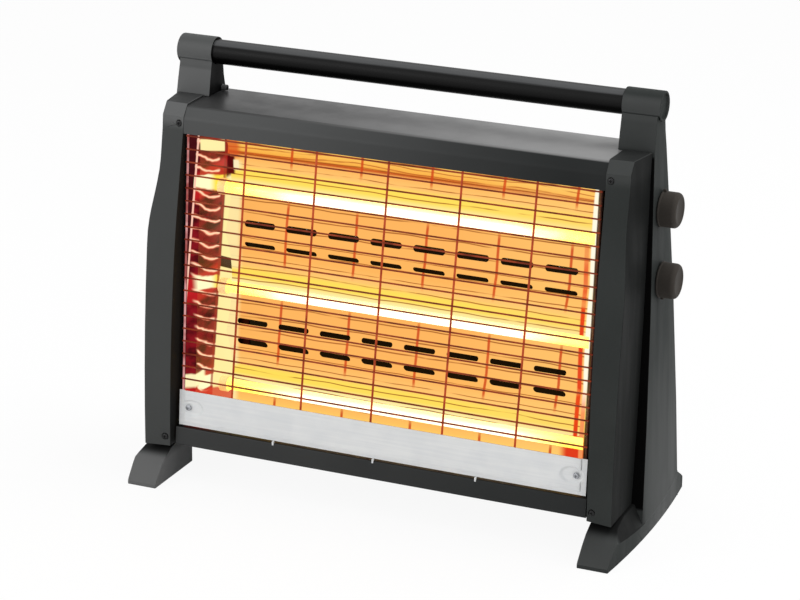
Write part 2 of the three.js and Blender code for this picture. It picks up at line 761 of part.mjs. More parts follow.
function footprint(inner) {
  const steps = 10;
  const points = [[inner, -frameHalfDepth]];
  for (let i = 0; i <= steps; i++) {
    const y = frameHalfDepth * (2 * i / steps - 1);
    points.push([frameX(y, 0), y]);
  }
  points.push([inner, frameHalfDepth]);
  return points;
}

function endFrame() {
  const rim = bodyHalfWidth + clearance;
  const ledge = bodyBottom - clearance;
  const shelf = bodyTop + clearance;
  const d = frameHalfDepth;
  const w = mouldWall;
  const tower = (from, to, inner, inset = 0) => solid(
    loft(towerHeights(from, to).map((z) => towerRing(z, inner, inset))));
  const fromToe = (points) => points.map(([x, z]) => [x - d, z]);
  const fromHeel = (points) => points.map(([x, z]) => [d - x, z]);
  // the tower: it grips the casing between a ledge below and the handle's upright above
  let shape = tower(0, ledge - ledgeHeight, footInnerX);
  shape = shape.add(tower(ledge - ledgeHeight, ledge, bossInner));
  shape = shape.add(tower(ledge, shelf, rim)).add(tower(shelf, handleZ, bossInner));
  // feet: a low base that runs forwards from under the column and a little out behind
  const side = [...fromToe(toe), [footRun - d, ledge], [d - footRun, ledge], ...fromHeel(heel)];
  const inner = footInnerX - overrun;
  const outer = frameFootX + overrun;
  const roofZ = bodyBottom + overrun;
  let base = solid(alongX(side, footInnerX, outer));
  base = base.intersect(solid(alongZ(footprint(inner), -overrun, roofZ)));
  const shoulder = [
    [inner, -overrun], [outer, -overrun], [outer, shoulderHeight],
    [outer - shoulderWidth, roofZ], [inner, roofZ],
  ];
  base = base.intersect(solid(alongY(shoulder, -d - overrun, d + overrun)));
  shape = shape.add(base);
  // handle boss
  shape = shape.add(solid(turnedX(rod(bossRadius, bossLength), bossInner, handleY, handleZ, 24)));
  const bore = rod(handleRadius + clearance, handleGrip + clearance + overrun);
  shape = shape.subtract(solid(turnedX(bore, bossInner - overrun, handleY, handleZ, 24)));
  const recess = rod(handleRadius, bossRecess + overrun);
  shape = shape.subtract(solid(turnedX(recess, bossOuter - bossRecess, handleY, handleZ, 24)));
  // hollow of the tower, open only towards the inside of the casing
  const floor = archTop + w;
  const roof = bodyTop - w;
  shape = shape.subtract(tower(floor, ledge, footInnerX + w, w));
  shape = shape.subtract(tower(ledge - overrun, roof, rim + w, w));
  shape = shape.subtract(tower(roof - overrun, handleZ - bossRadius - w, bossInner + bossWall, w));
  const sill = bodyBottom + 2 * w;
  const windowFront = towerHeights(sill, roof).map((z) => [towerFront(z) + w, z]);
  const windowRear = towerHeights(sill, roof).map((z) => [Math.min(rearY(z) - 2 * w, towerRear(z) - w), z]);
  const window = alongX([...windowFront, ...windowRear.reverse()], rim - overrun, rim + w + overrun);
  shape = shape.subtract(solid(window));
  // peg at the foot of the upright, on the top cover
  const peg = turnedX(rod(pegRadius, pegLength + overrun), bossInner - pegLength, pegY, shelf + pegRadius, 12);
  shape = shape.add(solid(peg));
  // hollows of the feet and the arch between them
  const frontHollow = [
    ...fromToe(toeHollow), [footRun + w + overrun - d, ledge - w], [toeHollowRun - d, ledge - w],
    [toeHollowRun - d, floor - overrun], [archFront - w, floor - overrun], [archFront - w, w],
  ];
  const heelTop = floor + 2 * w;
  const rearHollow = [
    [archRear + w, w], ...fromHeel(heelHollow), [d - heelHollowRun, heelTop], [archRear + w, heelTop],
  ];
  for (const outline of [frontHollow, rearHollow]) {
    shape = shape.subtract(solid(alongX(outline, footInnerX + w, frameFootX - 3 * w)));
  }
  const arch = [[archFront, -overrun], [archRear, -overrun], [archRear, archTop], [archFront, archTop]];
  shape = shape.subtract(solid(alongX(arch, bossInner - overrun, frameFootX - 2 * w)));
  // posts for the column's screws
  for (const z of columnScrewZ) {
    const start = columnFaceAt(columnScrewX + postRadius - columnInner, z) + w + 2 * clearance;
    const post = pipe(postRadius, screwShank + clearance / 2, towerFront(z) - start + overrun);
    shape = shape.add(solid(turnedY(post, columnScrewX, start, z, 12)));
  }
  return shape;
}

const knobX = (z) => frameX(knobY, z) + knobStandoff;

function controlSide(frame) {
  const hole = rod(bushRadius + clearance, 3 * mouldWall);
  return knobZ.reduce((shape, z) => shape.subtract(solid(
    turnedX(hole, frameX(knobY, z) - 2 * mouldWall, knobY, z, 20))), frame);
}

function knob() {
  const grip = knobRadius;
  const rim = knobRadius + knobFlange;
  const edge = knobEdge;
  const rounding = 0.3 * edge;
  const bore = shaftRadius + clearance;
  const boreEnd = knobLength - edge - shankGap;
  const inside = grip - knobWall;
  const profile = [
    [bore, knobSkirt], [inside, knobSkirt], [inside, 0], [rim, 0], [rim, knobFlangeHeight],
    [grip, knobFlangeHeight + knobFlange / 2], [grip, knobLength - edge],
    [grip - rounding, knobLength - rounding], [grip - edge, knobLength], [0, knobLength], [0, boreEnd],
    [bore, boreEnd], [bore, knobSkirt],
  ];
  const body = solid(turnedX(profile, 0, 0, 0, 24));
  const half = pointerWidth / 2;
  return body.add(solid(box(knobFlange / 4, pointerHeight, -half, half, grip - overrun, grip + pointerReach)));
}

function rotarySwitch() {
  const half = switchSize / 2;
  const bush = rod(bushRadius, switchFace + bushEnd + overrun);
  const bore = rod(shaftRadius + clearance, through);
  let shape = solid(box(-switchFace - switchDepth, -switchFace, -half, half, -half, half));
  shape = shape.add(solid(turnedX(bush, -switchFace - overrun, 0, 0, 20)));
  return shape.subtract(solid(turnedX(bore, -switchFace - shaftEngagement - overrun, 0, 0, 16)));
}

function nut() {
  const shape = solid(new THREE.CylinderGeometry(nutRadius, nutRadius, nutHeight, 6)
    .rotateZ(-Math.PI / 2).translate(nutHeight / 2, 0, 0));
  return shape.subtract(solid(turnedX(rod(bushRadius + clearance, through), -overrun, 0, 0, 20)));
}

// a pan-head screw that points along +y from under its head
function screw(length) {
  return turnedY([
    [0, -screwHeadHeight], [screwHead * 0.6, -screwHeadHeight], [screwHead, -screwHeadHeight * 0.4],
    [screwHead, 0], [screwShank, 0], [screwShank, length - screwShank], [0, length],
  ], 0, 0, 0, 10);
}

function cordInlet() {
  return turnedY([
    [inletBore, -inletDepth], [inletRadius, -inletDepth], [inletRadius, clearance],
    [inletFlange, clearance], [inletFlange, inletFlangeHeight], [inletRadius - inletTaper, inletLength],
    [inletBore, inletLength], [inletBore, -inletDepth],
  ], 0, 0, 0, 20);
}

function tipFrame() {
  const half = tipWidth / 2 + tipEarGap + tipPlate;
  const top = tipPivotHeight + tipEarTop;
  const ear = [[-tipEarFront, 0], [tipEarRear, 0], [tipEarRear, top], [-tipEarFront, top]];
  let shape = solid(box(-half, half, -tipEarFront - tipBaseFlange, tipEarRear + tipBaseFlange, 0, tipPlate));
  shape = shape.add(solid(alongX(ear, -half, -half + tipPlate)));
  shape = shape.add(solid(alongX(ear, half - tipPlate, half)));
  return shape.subtract(tipPinHole(tipPivotHeight));
}

const tipPinHole = (z) => solid(turnedX(rod(tipPin + clearance, through), -through / 2, 0, z, 12));

function tipPendulum() {
  const half = tipWidth / 2;
  const arm = tipArm / 2;
  let shape = solid(turnedX(rod(tipHub, tipWidth), -half, 0, 0, 16));
  shape = shape.add(solid(box(-arm, arm, -arm, arm, -tipBobDrop, 0)));
  shape = shape.add(solid(turnedX(rod(tipBob, tipWidth), -half, 0, -tipBobDrop, 20)));
  return shape.subtract(tipPinHole(0));
}

// ---------------------------------------------------------------- assembly
const heater = new THREE.Group();
heater.name = 'halogen_heater';

function add(name, shape, look, position = [0, 0, 0], turn = [0, 0, 0]) {
  const [color, roughness, metalness] = finish[look];
  const geometry = shape.getMesh ? geometryOf(shape) : shape;
  const mesh = new THREE.Mesh(geometry, new THREE.MeshStandardMaterial({ color, roughness, metalness }));
  mesh.name = name;
  mesh.position.set(...position);
  mesh.rotation.set(...turn);
  heater.add(mesh);
}

const sides = [['left', -1], ['right', 1]];

add('top_cover', topCover(), 'steel');
add('bottom_tray', bottomTray(), 'steel');
add('rear_panel', rearPanel(), 'steel');
add('reflector', reflector(), 'mirror');
add('wire_grille', grille(), 'chrome');
add('lower_panel', lowerPanel(), 'aluminium');

const plate = geometryOf(endPlate());
const frame = endFrame();
const pillar = geometryOf(column());
for (const [name, side] of sides) {
  const own = (geometry) => (side > 0 ? geometry : mirrored(geometry));
  add(`${name}_reflector_end`, own(plate.clone()), 'mirror');
  add(`${name}_front_column`, own(pillar.clone()), 'plastic');
  add(`${name}_end_frame`, own(geometryOf(side > 0 ? controlSide(frame) : frame)), 'plastic');
}

tubeZ.forEach((z, i) => {
  const tubeProfile = pipe(tubeRadius, tubeRadius - tubeWall, 2 * tubeHalfLength);
  add(`quartz_tube_${i + 1}`, turnedX(tubeProfile, -tubeHalfLength, 0, 0, 16), 'quartz', [0, tubeY, z]);
  add(`heating_coil_${i + 1}`, heatingCoil(), 'glow', [0, tubeY, z]);
  for (const [name, side] of sides) {
    const x = side * (endPlateX - clearance - capLength);
    const turn = side > 0 ? [0, 0, 0] : [0, Math.PI, 0];
    add(`${name}_ceramic_cap_${i + 1}`, ceramicCap(), 'ceramic', [x, tubeY, z], turn);
  }
});

const handleLength = 2 * (bossInner + handleGrip);
add('handle_tube', turnedX(pipe(handleRadius, handleRadius - handleWall, handleLength), 0, 0, 0, 24),
  'handle', [-handleLength / 2, handleY, handleZ]);

// the upper knob points up and the lower one down
knobZ.forEach((z, i) => {
  const name = ['upper', 'lower'][i];
  const panelX = frameX(knobY, z);
  add(`${name}_knob`, knob(), 'knob', [knobX(z), knobY, z], [i * Math.PI, 0, 0]);
  add(`${name}_switch`, rotarySwitch(), 'black', [panelX, knobY, z]);
  add(`${name}_switch_nut`, nut(), 'zinc', [panelX + nutGap, knobY, z]);
  const shaftStart = -switchFace - shaftEngagement;
  const shaftEnd = knobStandoff + knobLength - knobEdge - shankGap - clearance;
  add(`${name}_switch_shaft`, turnedX(rod(shaftRadius, shaftEnd - shaftStart), shaftStart, 0, 0, 16),
    'zinc', [panelX, knobY, z]);
});

for (const [name, side] of sides) {
  ['upper', 'lower'].forEach((level, i) => {
    const z = columnScrewZ[i];
    add(`${name}_${level}_column_screw`, screw(columnScrewLength), 'black',
      [side * columnScrewX, columnSeat(z) - clearance, z]);
    add(`${name}_${level}_rear_screw`, screw(screwLength), 'zinc',
      [side * rearScrewX, rearOuterY(rearScrewZ[i]) + clearance, rearScrewZ[i]], [0, 0, Math.PI]);
  });
  const dishFloor = grilleY(panelScrewZ) + panelFront + embossDepth;
  add(`${name}_panel_screw`, screw(screwLength), 'zinc',
    [side * panelScrewX, dishFloor - clearance, panelScrewZ]);
}

const rearTilt = Math.atan2(rearFoot - topDepthRear, bodyTop - bodyBottom);
add('cord_inlet', cordInlet(), 'black', [inletX, rearOuterY(inletZ), inletZ], [rearTilt, 0, 0]);
const plateBack = endPlateX + sheet + clearance;
const [terminalDepth, terminalLength, terminalHeight] = terminalSize;
add('terminal_block', new THREE.BoxGeometry(terminalDepth, terminalLength, terminalHeight), 'ceramic',
  [-(plateBack + terminalDepth / 2), terminalY, bodyBottom + terminalRise]);
const cutoutProfile = [
  [0, 0], [cutoutRadius, 0], [cutoutRadius, cutoutHeight], [cutoutStem, cutoutHeight],
  [cutoutStem, cutoutLength], [0, cutoutLength],
];
add('thermal_cutout', turnedX(cutoutProfile, 0, 0, 0, 20), 'black',
  [-plateBack, cutoutY, bodyTop - cutoutDrop], [0, 0, Math.PI]);

const tipFloor = archTop + mouldWall + clearance;
const tipPinLength = tipWidth + 2 * (tipEarGap + tipPlate) + 2 * overrun;
add('tip_switch_frame', tipFrame(), 'zinc', [tipX, tipY, tipFloor]);
add('tip_switch_pin', turnedX(rod(tipPin, tipPinLength), -tipPinLength / 2, 0, 0, 12), 'zinc',
  [tipX, tipY, tipFloor + tipPivotHeight]);
add('tip_switch_pendulum', tipPendulum(), 'brass', [tipX, tipY, tipFloor + tipPivotHeight]);
const [microWidth, microLength, microHeight] = microSize;
const microX = tipX - tipWidth / 2 - tipEarGap + clearance;
add('tip_microswitch', box(0, microWidth, 0, microLength, 0, microHeight), 'black',
  [microX, tipY + microY, tipFloor + microRise]);

const reach = Math.max(...knobZ.map((z) => knobX(z) + knobLength));
heater.position.x = -(reach - frameFootX) / 2;
heater.updateMatrixWorld(true);

console.log(`least gap of a heating coil to itself: ${coilGap().toFixed(2)} mm`);

export default heater;
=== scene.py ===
# %% [markdown]
# # A halogen bar heater
# The heater stands on two moulded end frames that carry a folded steel casing, a tube handle and
# the controls. In its mouth three quartz tubes glow in front of a wavy polished reflector, behind
# a welded wire grille. The construction is loaded as a fixed frame of solids in their real places,
# and this lesson dresses it: each step makes one kind of piece or one finish. Blender works in
# metres and a maker in millimetres, so MM turns one into the other.

# %% Load the frame
import json
from functools import reduce
from math import cos, pi, radians, sin

import bmesh
import bpy
from mathutils import Matrix, Vector


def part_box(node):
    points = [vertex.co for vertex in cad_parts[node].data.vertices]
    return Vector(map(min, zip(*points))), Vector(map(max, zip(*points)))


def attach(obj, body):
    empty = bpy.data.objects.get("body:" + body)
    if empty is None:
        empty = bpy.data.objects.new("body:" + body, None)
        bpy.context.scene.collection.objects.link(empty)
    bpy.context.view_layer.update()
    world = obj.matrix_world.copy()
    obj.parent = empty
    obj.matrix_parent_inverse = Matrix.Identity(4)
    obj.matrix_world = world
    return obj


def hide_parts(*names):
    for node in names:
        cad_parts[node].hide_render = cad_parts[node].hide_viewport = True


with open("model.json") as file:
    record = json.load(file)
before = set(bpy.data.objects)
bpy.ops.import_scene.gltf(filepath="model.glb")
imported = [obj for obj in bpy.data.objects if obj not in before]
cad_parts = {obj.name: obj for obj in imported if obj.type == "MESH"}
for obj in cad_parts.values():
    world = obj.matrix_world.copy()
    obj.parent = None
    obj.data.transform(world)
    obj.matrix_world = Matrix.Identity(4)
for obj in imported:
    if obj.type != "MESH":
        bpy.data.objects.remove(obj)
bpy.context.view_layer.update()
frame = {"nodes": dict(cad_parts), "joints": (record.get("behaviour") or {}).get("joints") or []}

# %% [markdown]
# ## The camera
# The photograph was taken from the right and a little above, with a long lens from about three
# metres. A long lens keeps the verticals nearly parallel. The camera looks at one target point from
# a turn, a tilt and a distance, which is easier to correct than a position and three angles.

# %% Camera
MM = 0.001
SENSOR_WIDTH = 36
IMAGE_WIDTH = 800
FOCAL_PIXELS = 2860.15
CAMERA_TARGET = Vector((-19.99, 10, 197.61)) * MM
CAMERA_DISTANCE = 2903.21 * MM
CAMERA_TURN = radians(23.232)
CAMERA_TILT = radians(19.300)
CAMERA_ROLL = radians(0.743)


def placed(name, data):
    """A new object of the scene, made of the data given."""
    thing = bpy.data.objects.new(name, data)
    bpy.context.scene.collection.objects.link(thing)
    return thing


backward = Vector((
    sin(CAMERA_TURN) * cos(CAMERA_TILT),
    -cos(CAMERA_TURN) * cos(CAMERA_TILT),
    sin(CAMERA_TILT),
))
level_right = Vector((0, 0, 1)).cross(backward).normalized()
level_up = backward.cross(level_right)
right = level_right * cos(CAMERA_ROLL) + level_up * sin(CAMERA_ROLL)
up = level_up * cos(CAMERA_ROLL) - level_right * sin(CAMERA_ROLL)

lens = bpy.data.cameras.new("camera")
lens.sensor_width = SENSOR_WIDTH
lens.lens = FOCAL_PIXELS * SENSOR_WIDTH / IMAGE_WIDTH
camera = placed("camera", lens)
stand = Matrix((right, up, backward)).transposed().to_4x4()
stand.translation = CAMERA_TARGET + backward * CAMERA_DISTANCE
camera.matrix_world = stand
bpy.context.scene.camera = camera
print("camera at", tuple(round(c, 3) for c in stand.translation), "lens", round(lens.lens, 1), "mm")

# %% [markdown]
# ## Shader arithmetic
# A finish is a sum of simple ideas: a base colour, a little noise, a band here, a scratch there.
# Wiring Math nodes by hand hides that, so a small class wraps a socket and lets ordinary Python
# operators add the nodes. Colours go through Mix nodes, because a Math node would turn them grey.

# %% Sockets that can be added and multiplied
class Value:
    """One output of a node tree, with the operators of Python."""

    def __init__(self, nodes, socket):
        self.nodes = nodes
        self.socket = socket

    def math(self, operation, *inputs):
        return self.nodes.add("ShaderNodeMath", {"operation": operation}, dict(enumerate(inputs)))

    def __add__(self, other):
        return self.math("ADD", self, other)

    def __sub__(self, other):
        return self.math("SUBTRACT", self, other)

    def __rsub__(self, other):
        return self.math("SUBTRACT", other, self)

    def __mul__(self, other):
        return self.math("MULTIPLY", self, other)

    def __truediv__(self, other):
        return self.math("DIVIDE", self, other)

    def __abs__(self):
        return self.math("ABSOLUTE", self)

    __radd__ = __add__
    __rmul__ = __mul__

    def wrapped(self, period):
        """Distance to the nearest multiple of period."""
        return self.math("PINGPONG", self, period / 2)

    def greater(self, other):
        return self.math("MAXIMUM", self, other)

    def lesser(self, other):
        return self.math("MINIMUM", self, other)

    def fade(self, start, end, low=0.0, high=1.0):
        """Smoothly from low at start to high at end, which may lie on either side of start."""
        return self.nodes.add(
            "ShaderNodeMapRange", {"interpolation_type": "SMOOTHSTEP"},
            {"Value": self, "From Min": start, "From Max": end, "To Min": low, "To Max": high})

    def band(self, low, high, edge):
        """1 between low and high, fading to 0 over edge outside them."""
        return self.fade(low - edge, low) * self.fade(high + edge, high)


# %% Colours
BLACK = (0, 0, 0)
WHITE = (255, 255, 255)


def linear(colour):
    """A display colour, three values from 0 to 255, as the linear colour that shaders use."""
    shares = [value / 255 for value in colour]
    return [s / 12.92 if s <= 0.04045 else ((s + 0.055) / 1.055) ** 2.4 for s in shares] + [1.0]


# %% Node trees
class Nodes:
    """A node tree that grows by one call for each node."""

    def __init__(self, tree):
        self.tree = tree

    def feed(self, socket, value):
        """A link, a display colour or a plain number for a socket."""
        if isinstance(value, Value):
            self.tree.links.new(value.socket, socket)
        else:
            socket.default_value = linear(value) if socket.type == "RGBA" else value

    def add(self, kind, settings=None, inputs=None, output=0, stops=None):
        """Any node: its settings first, then the values or links of its sockets."""
        node = self.tree.nodes.new(kind)
        for name, value in (settings or {}).items():
            setattr(node, name, value)
        if stops:
            ramp = node.color_ramp
            while len(ramp.elements) < len(stops):
                ramp.elements.new(1.0)
            for element, (position, colour) in zip(ramp.elements, stops):
                element.position = position
                element.color = linear(colour)
        for name, value in (inputs or {}).items():
            self.feed(node.inputs[name], value)
        return Value(self, node.outputs[output])

    def mix(self, share, first, second):
        """From the first colour to the second as share goes from 0 to 1."""
        node = self.tree.nodes.new("ShaderNodeMix")
        node.data_type = "RGBA"
        colours = [socket for socket in node.inputs if socket.type == "RGBA"]
        self.feed(node.inputs["Factor"], share)
        self.feed(colours[0], first)
        self.feed(colours[1], second)
        return Value(self, next(socket for socket in node.outputs if socket.type == "RGBA"))

    def layers(self, ground, *covers):
        """A colour under others: each cover is the share of the ground that it takes, and its colour."""
        for share, colour in covers:
            ground = self.mix(share, ground, colour)
        return ground

    def seen(self):
        """1 for rays from the camera, from a mirror or through glass, 0 for those that only light."""
        rays = self.tree.nodes.new("ShaderNodeLightPath").outputs
        from_camera = Value(self, rays["Is Camera Ray"])
        mirrored = Value(self, rays["Is Glossy Ray"])
        passing = Value(self, rays["Is Transmission Ray"])
        return from_camera.greater(mirrored).greater(passing)


# %% Materials
class Paint(Nodes):
    """A material with a Principled shader. x, y and z are the place on the heater in millimetres,
    and face_x, face_y and face_z say which way the surface looks."""

    def __init__(self, name, **settings):
        self.material = bpy.data.materials.new(name)
        self.material.use_nodes = True
        super().__init__(self.material.node_tree)
        self.shader = self.tree.nodes["Principled BSDF"]
        coordinates = self.tree.nodes.new("ShaderNodeTexCoord").outputs
        self.where = Value(self, coordinates["Object"])
        in_millimetres = self.stretched(self.where, (1 / MM, 1 / MM, 1 / MM))
        self.x, self.y, self.z = self.parts(in_millimetres)
        self.face_x, self.face_y, self.face_z = self.parts(Value(self, coordinates["Normal"]))
        self.set(**settings)

    def stretched(self, vector, scale):
        return self.add("ShaderNodeMapping", {}, {"Vector": vector, "Scale": scale})

    def parts(self, vector):
        node = self.tree.nodes.new("ShaderNodeSeparateXYZ")
        self.feed(node.inputs[0], vector)
        return [Value(self, node.outputs[axis]) for axis in "XYZ"]

    def set(self, **sockets):
        """Sockets of the shader, with the underscores of their names read as spaces."""
        for name, value in sockets.items():
            self.feed(self.shader.inputs[name.replace("_", " ")], value)

    def noise(self, scale, detail=3.0, stretch=(1, 1, 1), roughness=0.5):
        """scale counts the lumps in a metre."""
        return self.add(
            "ShaderNodeTexNoise", {},
            {"Vector": self.stretched(self.where, stretch), "Scale": scale, "Detail": detail,
             "Roughness": roughness})

    def bump(self, height, depth, strength=0.5):
        """Relief of a depth in millimetres."""
        self.set(Normal=self.add(
            "ShaderNodeBump", {}, {"Height": height, "Distance": depth * MM, "Strength": strength}))


# %% [markdown]
# ## Paint and plastic
# The casing is powder-coated steel: dark grey, semi-gloss, with the faint orange peel that baked
# powder leaves. The end frames are a moulded plastic of nearly the same grey but duller, eroded in
# the mould to a fine grain that scatters the highlight. Both get a slow drift in colour and in
# roughness, because no large real surface is even. Painted light and shade are laid over that by
# place and by the way that a face looks: a paler left end where more light falls, and darker flanks
# and recesses in painted shade.

# %% Casing paint
# A near black for painted shade.
PAINTED_SHADE_BLACK = (7, 7, 7)


def leftness(paint):
    """1 at the left end of the heater and 0 at its right end."""
    return paint.x.fade(190, -210)


def painted_steel(name, shaded_inside=False):
    """Sheets shaded inside are painted black, as painted shade, on the side that looks at the tubes."""
    paint = Paint(name, Specular_IOR_Level=0.12)
    # Painted light: the lip and the strip are painted paler towards the left end, where more light falls,
    # and the top is painted paler towards the right end, as a painted reflection of the pale studio.
    left = leftness(paint)
    lip = paint.mix(left, (34, 36, 36), (86, 87, 87))
    strip = paint.mix(left, (36, 38, 38), (60, 61, 61))
    top = paint.mix(left, (136, 136, 136), (54, 54, 54))
    tray_hem = paint.z.fade(100, 80)        # painted shadow: it looks upwards too, but is painted black
    colour = paint.layers(
        paint.mix(paint.z.fade(60, 80), strip, lip),
        (paint.face_z.fade(0.6, 0.95), paint.mix(tray_hem, top, PAINTED_SHADE_BLACK)),
        (paint.noise(9, detail=2).fade(0.3, 0.7) * 0.1, (90, 92, 92)))
    if shaded_inside:
        colour = paint.mix(paint.face_y.fade(-0.2, -0.6), colour, PAINTED_SHADE_BLACK)
    smudge = paint.noise(38, detail=4)
    paint.set(Base_Color=colour, Roughness=smudge.fade(0.25, 0.75, 0.30, 0.40))
    paint.bump(paint.noise(650, detail=2), 0.05, 0.35)
    return paint.material


CASING = painted_steel("casing_paint")
# The same paint, painted black as shade on the side that looks at the tubes.
SHADED_CASING = painted_steel("shaded_casing_paint", shaded_inside=True)


# %% Moulded plastic
def grained_plastic(name, dark, light, rough=(0.50, 0.62), light_share=None, shade_share=None):
    """The two masks give the shares of a paler tone of painted light and of a near black of painted shade
    over the grain.
    """
    paint = Paint(name, Specular_IOR_Level=0.04)
    grain = paint.noise(1500, detail=3, roughness=0.65)
    flow = paint.noise(70, stretch=(1, 1, 0.12))
    tone = paint.noise(12).fade(0.3, 0.7) * 0.6 + grain.fade(0.35, 0.65) * 0.4
    colour = paint.mix(tone, dark, light)
    # painted light: a paler tone where more light falls
    if light_share:
        colour = paint.mix(light_share(paint), colour, (112, 113, 113))
    # painted shade: near black where shade falls
    if shade_share:
        colour = paint.mix(shade_share(paint), colour, PAINTED_SHADE_BLACK)
    paint.set(Base_Color=colour, Roughness=flow.fade(0.3, 0.7, *rough))
    paint.bump(grain, 0.07)
    return paint.material


KNOB_PLASTIC = grained_plastic("knob_plastic", (60, 56, 52), (68, 64, 60), rough=(0.5, 0.6))
BLACK_PLASTIC = grained_plastic("black_plastic", (24, 25, 25), (34, 35, 35))


# %% Plastic of the columns
def column_painted_shade(paint):
    """Painted shade: the flanks and the flat top of a front column are painted darker than its face."""
    flank = abs(paint.face_x).fade(0.70, 0.90)
    return flank.greater(paint.face_z.fade(0.75, 0.92) * 0.8) * 0.82


def column_painted_light(paint):
    """Painted light: the left column is painted a little paler, and so is the bevel at the top of both.
    """
    bevel = paint.z.fade(366, 378)
    return leftness(paint) * (bevel * 0.4 + 0.28) + bevel * 0.2 + 0.03


COLUMN_PLASTIC = grained_plastic(
    "column_plastic", (49, 52, 51), (57, 60, 59), light_share=column_painted_light, shade_share=column_painted_shade)


# %% Plastic of the end frames
def frame_painted_light(paint):
    """Painted light: the left frame is painted paler, above all on its handle post and foot, and so are
    the right frame's side and the front faces and foot tops of both.
    """
    post = paint.z.fade(391, 397)
    raised = paint.z.band(391, 414, 6) * 0.6 + post * 0.38
    foot = paint.z.fade(36, 20)
    front = paint.face_y.fade(-0.6, -0.95) * (post * 0.14 + paint.z.fade(418, 424) * 0.1 + 0.08)
    foot_top = paint.face_z.fade(0.2, 0.5) * paint.z.fade(50, 36) * 0.2
    side = paint.x.fade(230, 250) * paint.y.band(5, 70, 45) * paint.z.fade(250, 40) * 0.34
    # only where the photograph shows it: not on the left outer side and not at the rear
    shown = paint.face_x.fade(-0.85, -0.5) * paint.face_y.fade(0.7, 0.3)
    return (leftness(paint) * (raised + foot + 0.1) * shown).greater(side) + front + foot_top


def frame_painted_shade(paint):
    """Painted shade, near black: the step behind each column, the inner faces, and the foot right under
    the column.
    """
    groove = paint.face_y.fade(-0.5, -0.8) * abs(paint.x).fade(225, 235) * paint.z.band(34, 386, 4)
    to_the_middle = paint.face_x * paint.x.fade(-1, 1, 1.0, -1.0)
    inner = to_the_middle.fade(0.6, 0.9) * paint.z.fade(385, 391)
    under_column = (
        paint.face_z.fade(0.1, 0.35) * paint.y.fade(-98, -86) * paint.y.fade(-18, -28)
        * paint.z.fade(72, 64) * 0.85)
    return groove.greater(inner).greater(under_column)


FRAME_PLASTIC = grained_plastic(
    "frame_plastic", (46, 49, 48), (55, 58, 57), light_share=frame_painted_light, shade_share=frame_painted_shade)

# %% [markdown]
# ## Bare metals
# Metal shows its working: the aluminium panel is brushed along its length, and the zinc plating of
# screws and switches is blotchy. Noise gives both, stretched along one axis where the metal is
# brushed, and is fed to colour, roughness and a shallow bump. The handle tube hides its steel under
# a satin black lacquer. Its one long highlight is painted, because the soft lamps here leave none.

# %% Metals
ALONG_X = (0.03, 1, 1)
EVEN = (1, 1, 1)
RELIEF = 0.02


def streaked_metal(name, dark, light, stretch, metallic=1.0, rough=(0.28, 0.42)):
    paint = Paint(name, Metallic=metallic)
    streak = paint.noise(420, detail=4, stretch=stretch)
    tone = streak.fade(0.3, 0.7) * 0.5 + paint.noise(45).fade(0.3, 0.7) * 0.5
    paint.set(Base_Color=paint.mix(tone, dark, light), Roughness=streak.fade(0.25, 0.75, *rough))
    paint.bump(streak, RELIEF)
    return paint.material


ALUMINIUM = streaked_metal(
    "brushed_aluminium", (236, 239, 241), (248, 250, 250), ALONG_X, metallic=0.03, rough=(0.40, 0.50))
ZINC = streaked_metal("zinc_plate", (150, 152, 156), (182, 184, 188), EVEN)
BRASS = streaked_metal("brass", (176, 142, 70), (204, 172, 98), EVEN)
SCREW_BLACK = streaked_metal(
    "blackened_screw", (30, 30, 31), (46, 46, 47), EVEN, metallic=0.7, rough=(0.24, 0.36))


# %% Handle lacquer
def satin_lacquer():
    """Black lacquer with a painted highlight in one band along the upper front of the tube, and painted
    shade on its lower side.
    """
    paint = Paint("handle_lacquer", Specular_IOR_Level=0.08)
    streak = paint.noise(420, detail=4, stretch=ALONG_X)
    lit = (paint.face_z + (streak - 0.5) * 0.1).band(0.76, 0.92, 0.16) * paint.face_y.fade(0.0, -0.3)
    # painted shade: the faces that look down are painted darker
    dark = paint.mix(paint.face_z.fade(-0.4, 0.3), (4, 4, 4), (30, 30, 30))
    paint.set(
        Base_Color=paint.mix(lit, dark, (84, 85, 86)), Roughness=streak.fade(0.25, 0.75, 0.26, 0.36))
    paint.bump(streak, RELIEF)
    return paint.material


HANDLE = satin_lacquer()

# %% [markdown]
# ## Light from the tubes
# A halogen heater that is switched on lights its own inside. The polished reflector shows the tubes
# again as yellow bands above each of them, fades to orange in between, and carries the images of
# the grille in front of it. A mirror would need thousands of light paths for that, so all of it is
# painted glow and painted reflection: the reflector glows by itself, the colour follows the height
# above each tube, and thin lines stand for the wires.

# %% Places that the glow follows
OPENING_TOP = 364
UPRIGHT_COUNT, UPRIGHT_PITCH = 5, 77.5


def middle(node):
    low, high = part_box(node)
    return (low + high) / 2


def row(count, pitch):
    """Places of equal pitch to both sides of 0."""
    return [(k - (count - 1) / 2) * pitch for k in range(count)]


TUBE_HEIGHTS = [middle(f"quartz_tube_{number}").z for number in (1, 2, 3)]
TUBES_MM = [round(height / MM, 3) for height in TUBE_HEIGHTS]
CENTRE_X = middle("quartz_tube_1").x
CENTRE_MM = round(CENTRE_X / MM, 3)
UPRIGHTS = [CENTRE_MM + step for step in row(UPRIGHT_COUNT, UPRIGHT_PITCH)]
print("tubes at", TUBES_MM, "uprights at", UPRIGHTS, "mm")


def along_sight(paint):
    """A coordinate that stays the same along the photograph's line of sight, in plan."""
    return paint.x * cos(CAMERA_TURN) + paint.y * sin(CAMERA_TURN)


def nearest_of(places, coordinate):
    """Distance from the coordinate to the nearest of the places."""
    return reduce(Value.lesser, [abs(coordinate - place) for place in places])


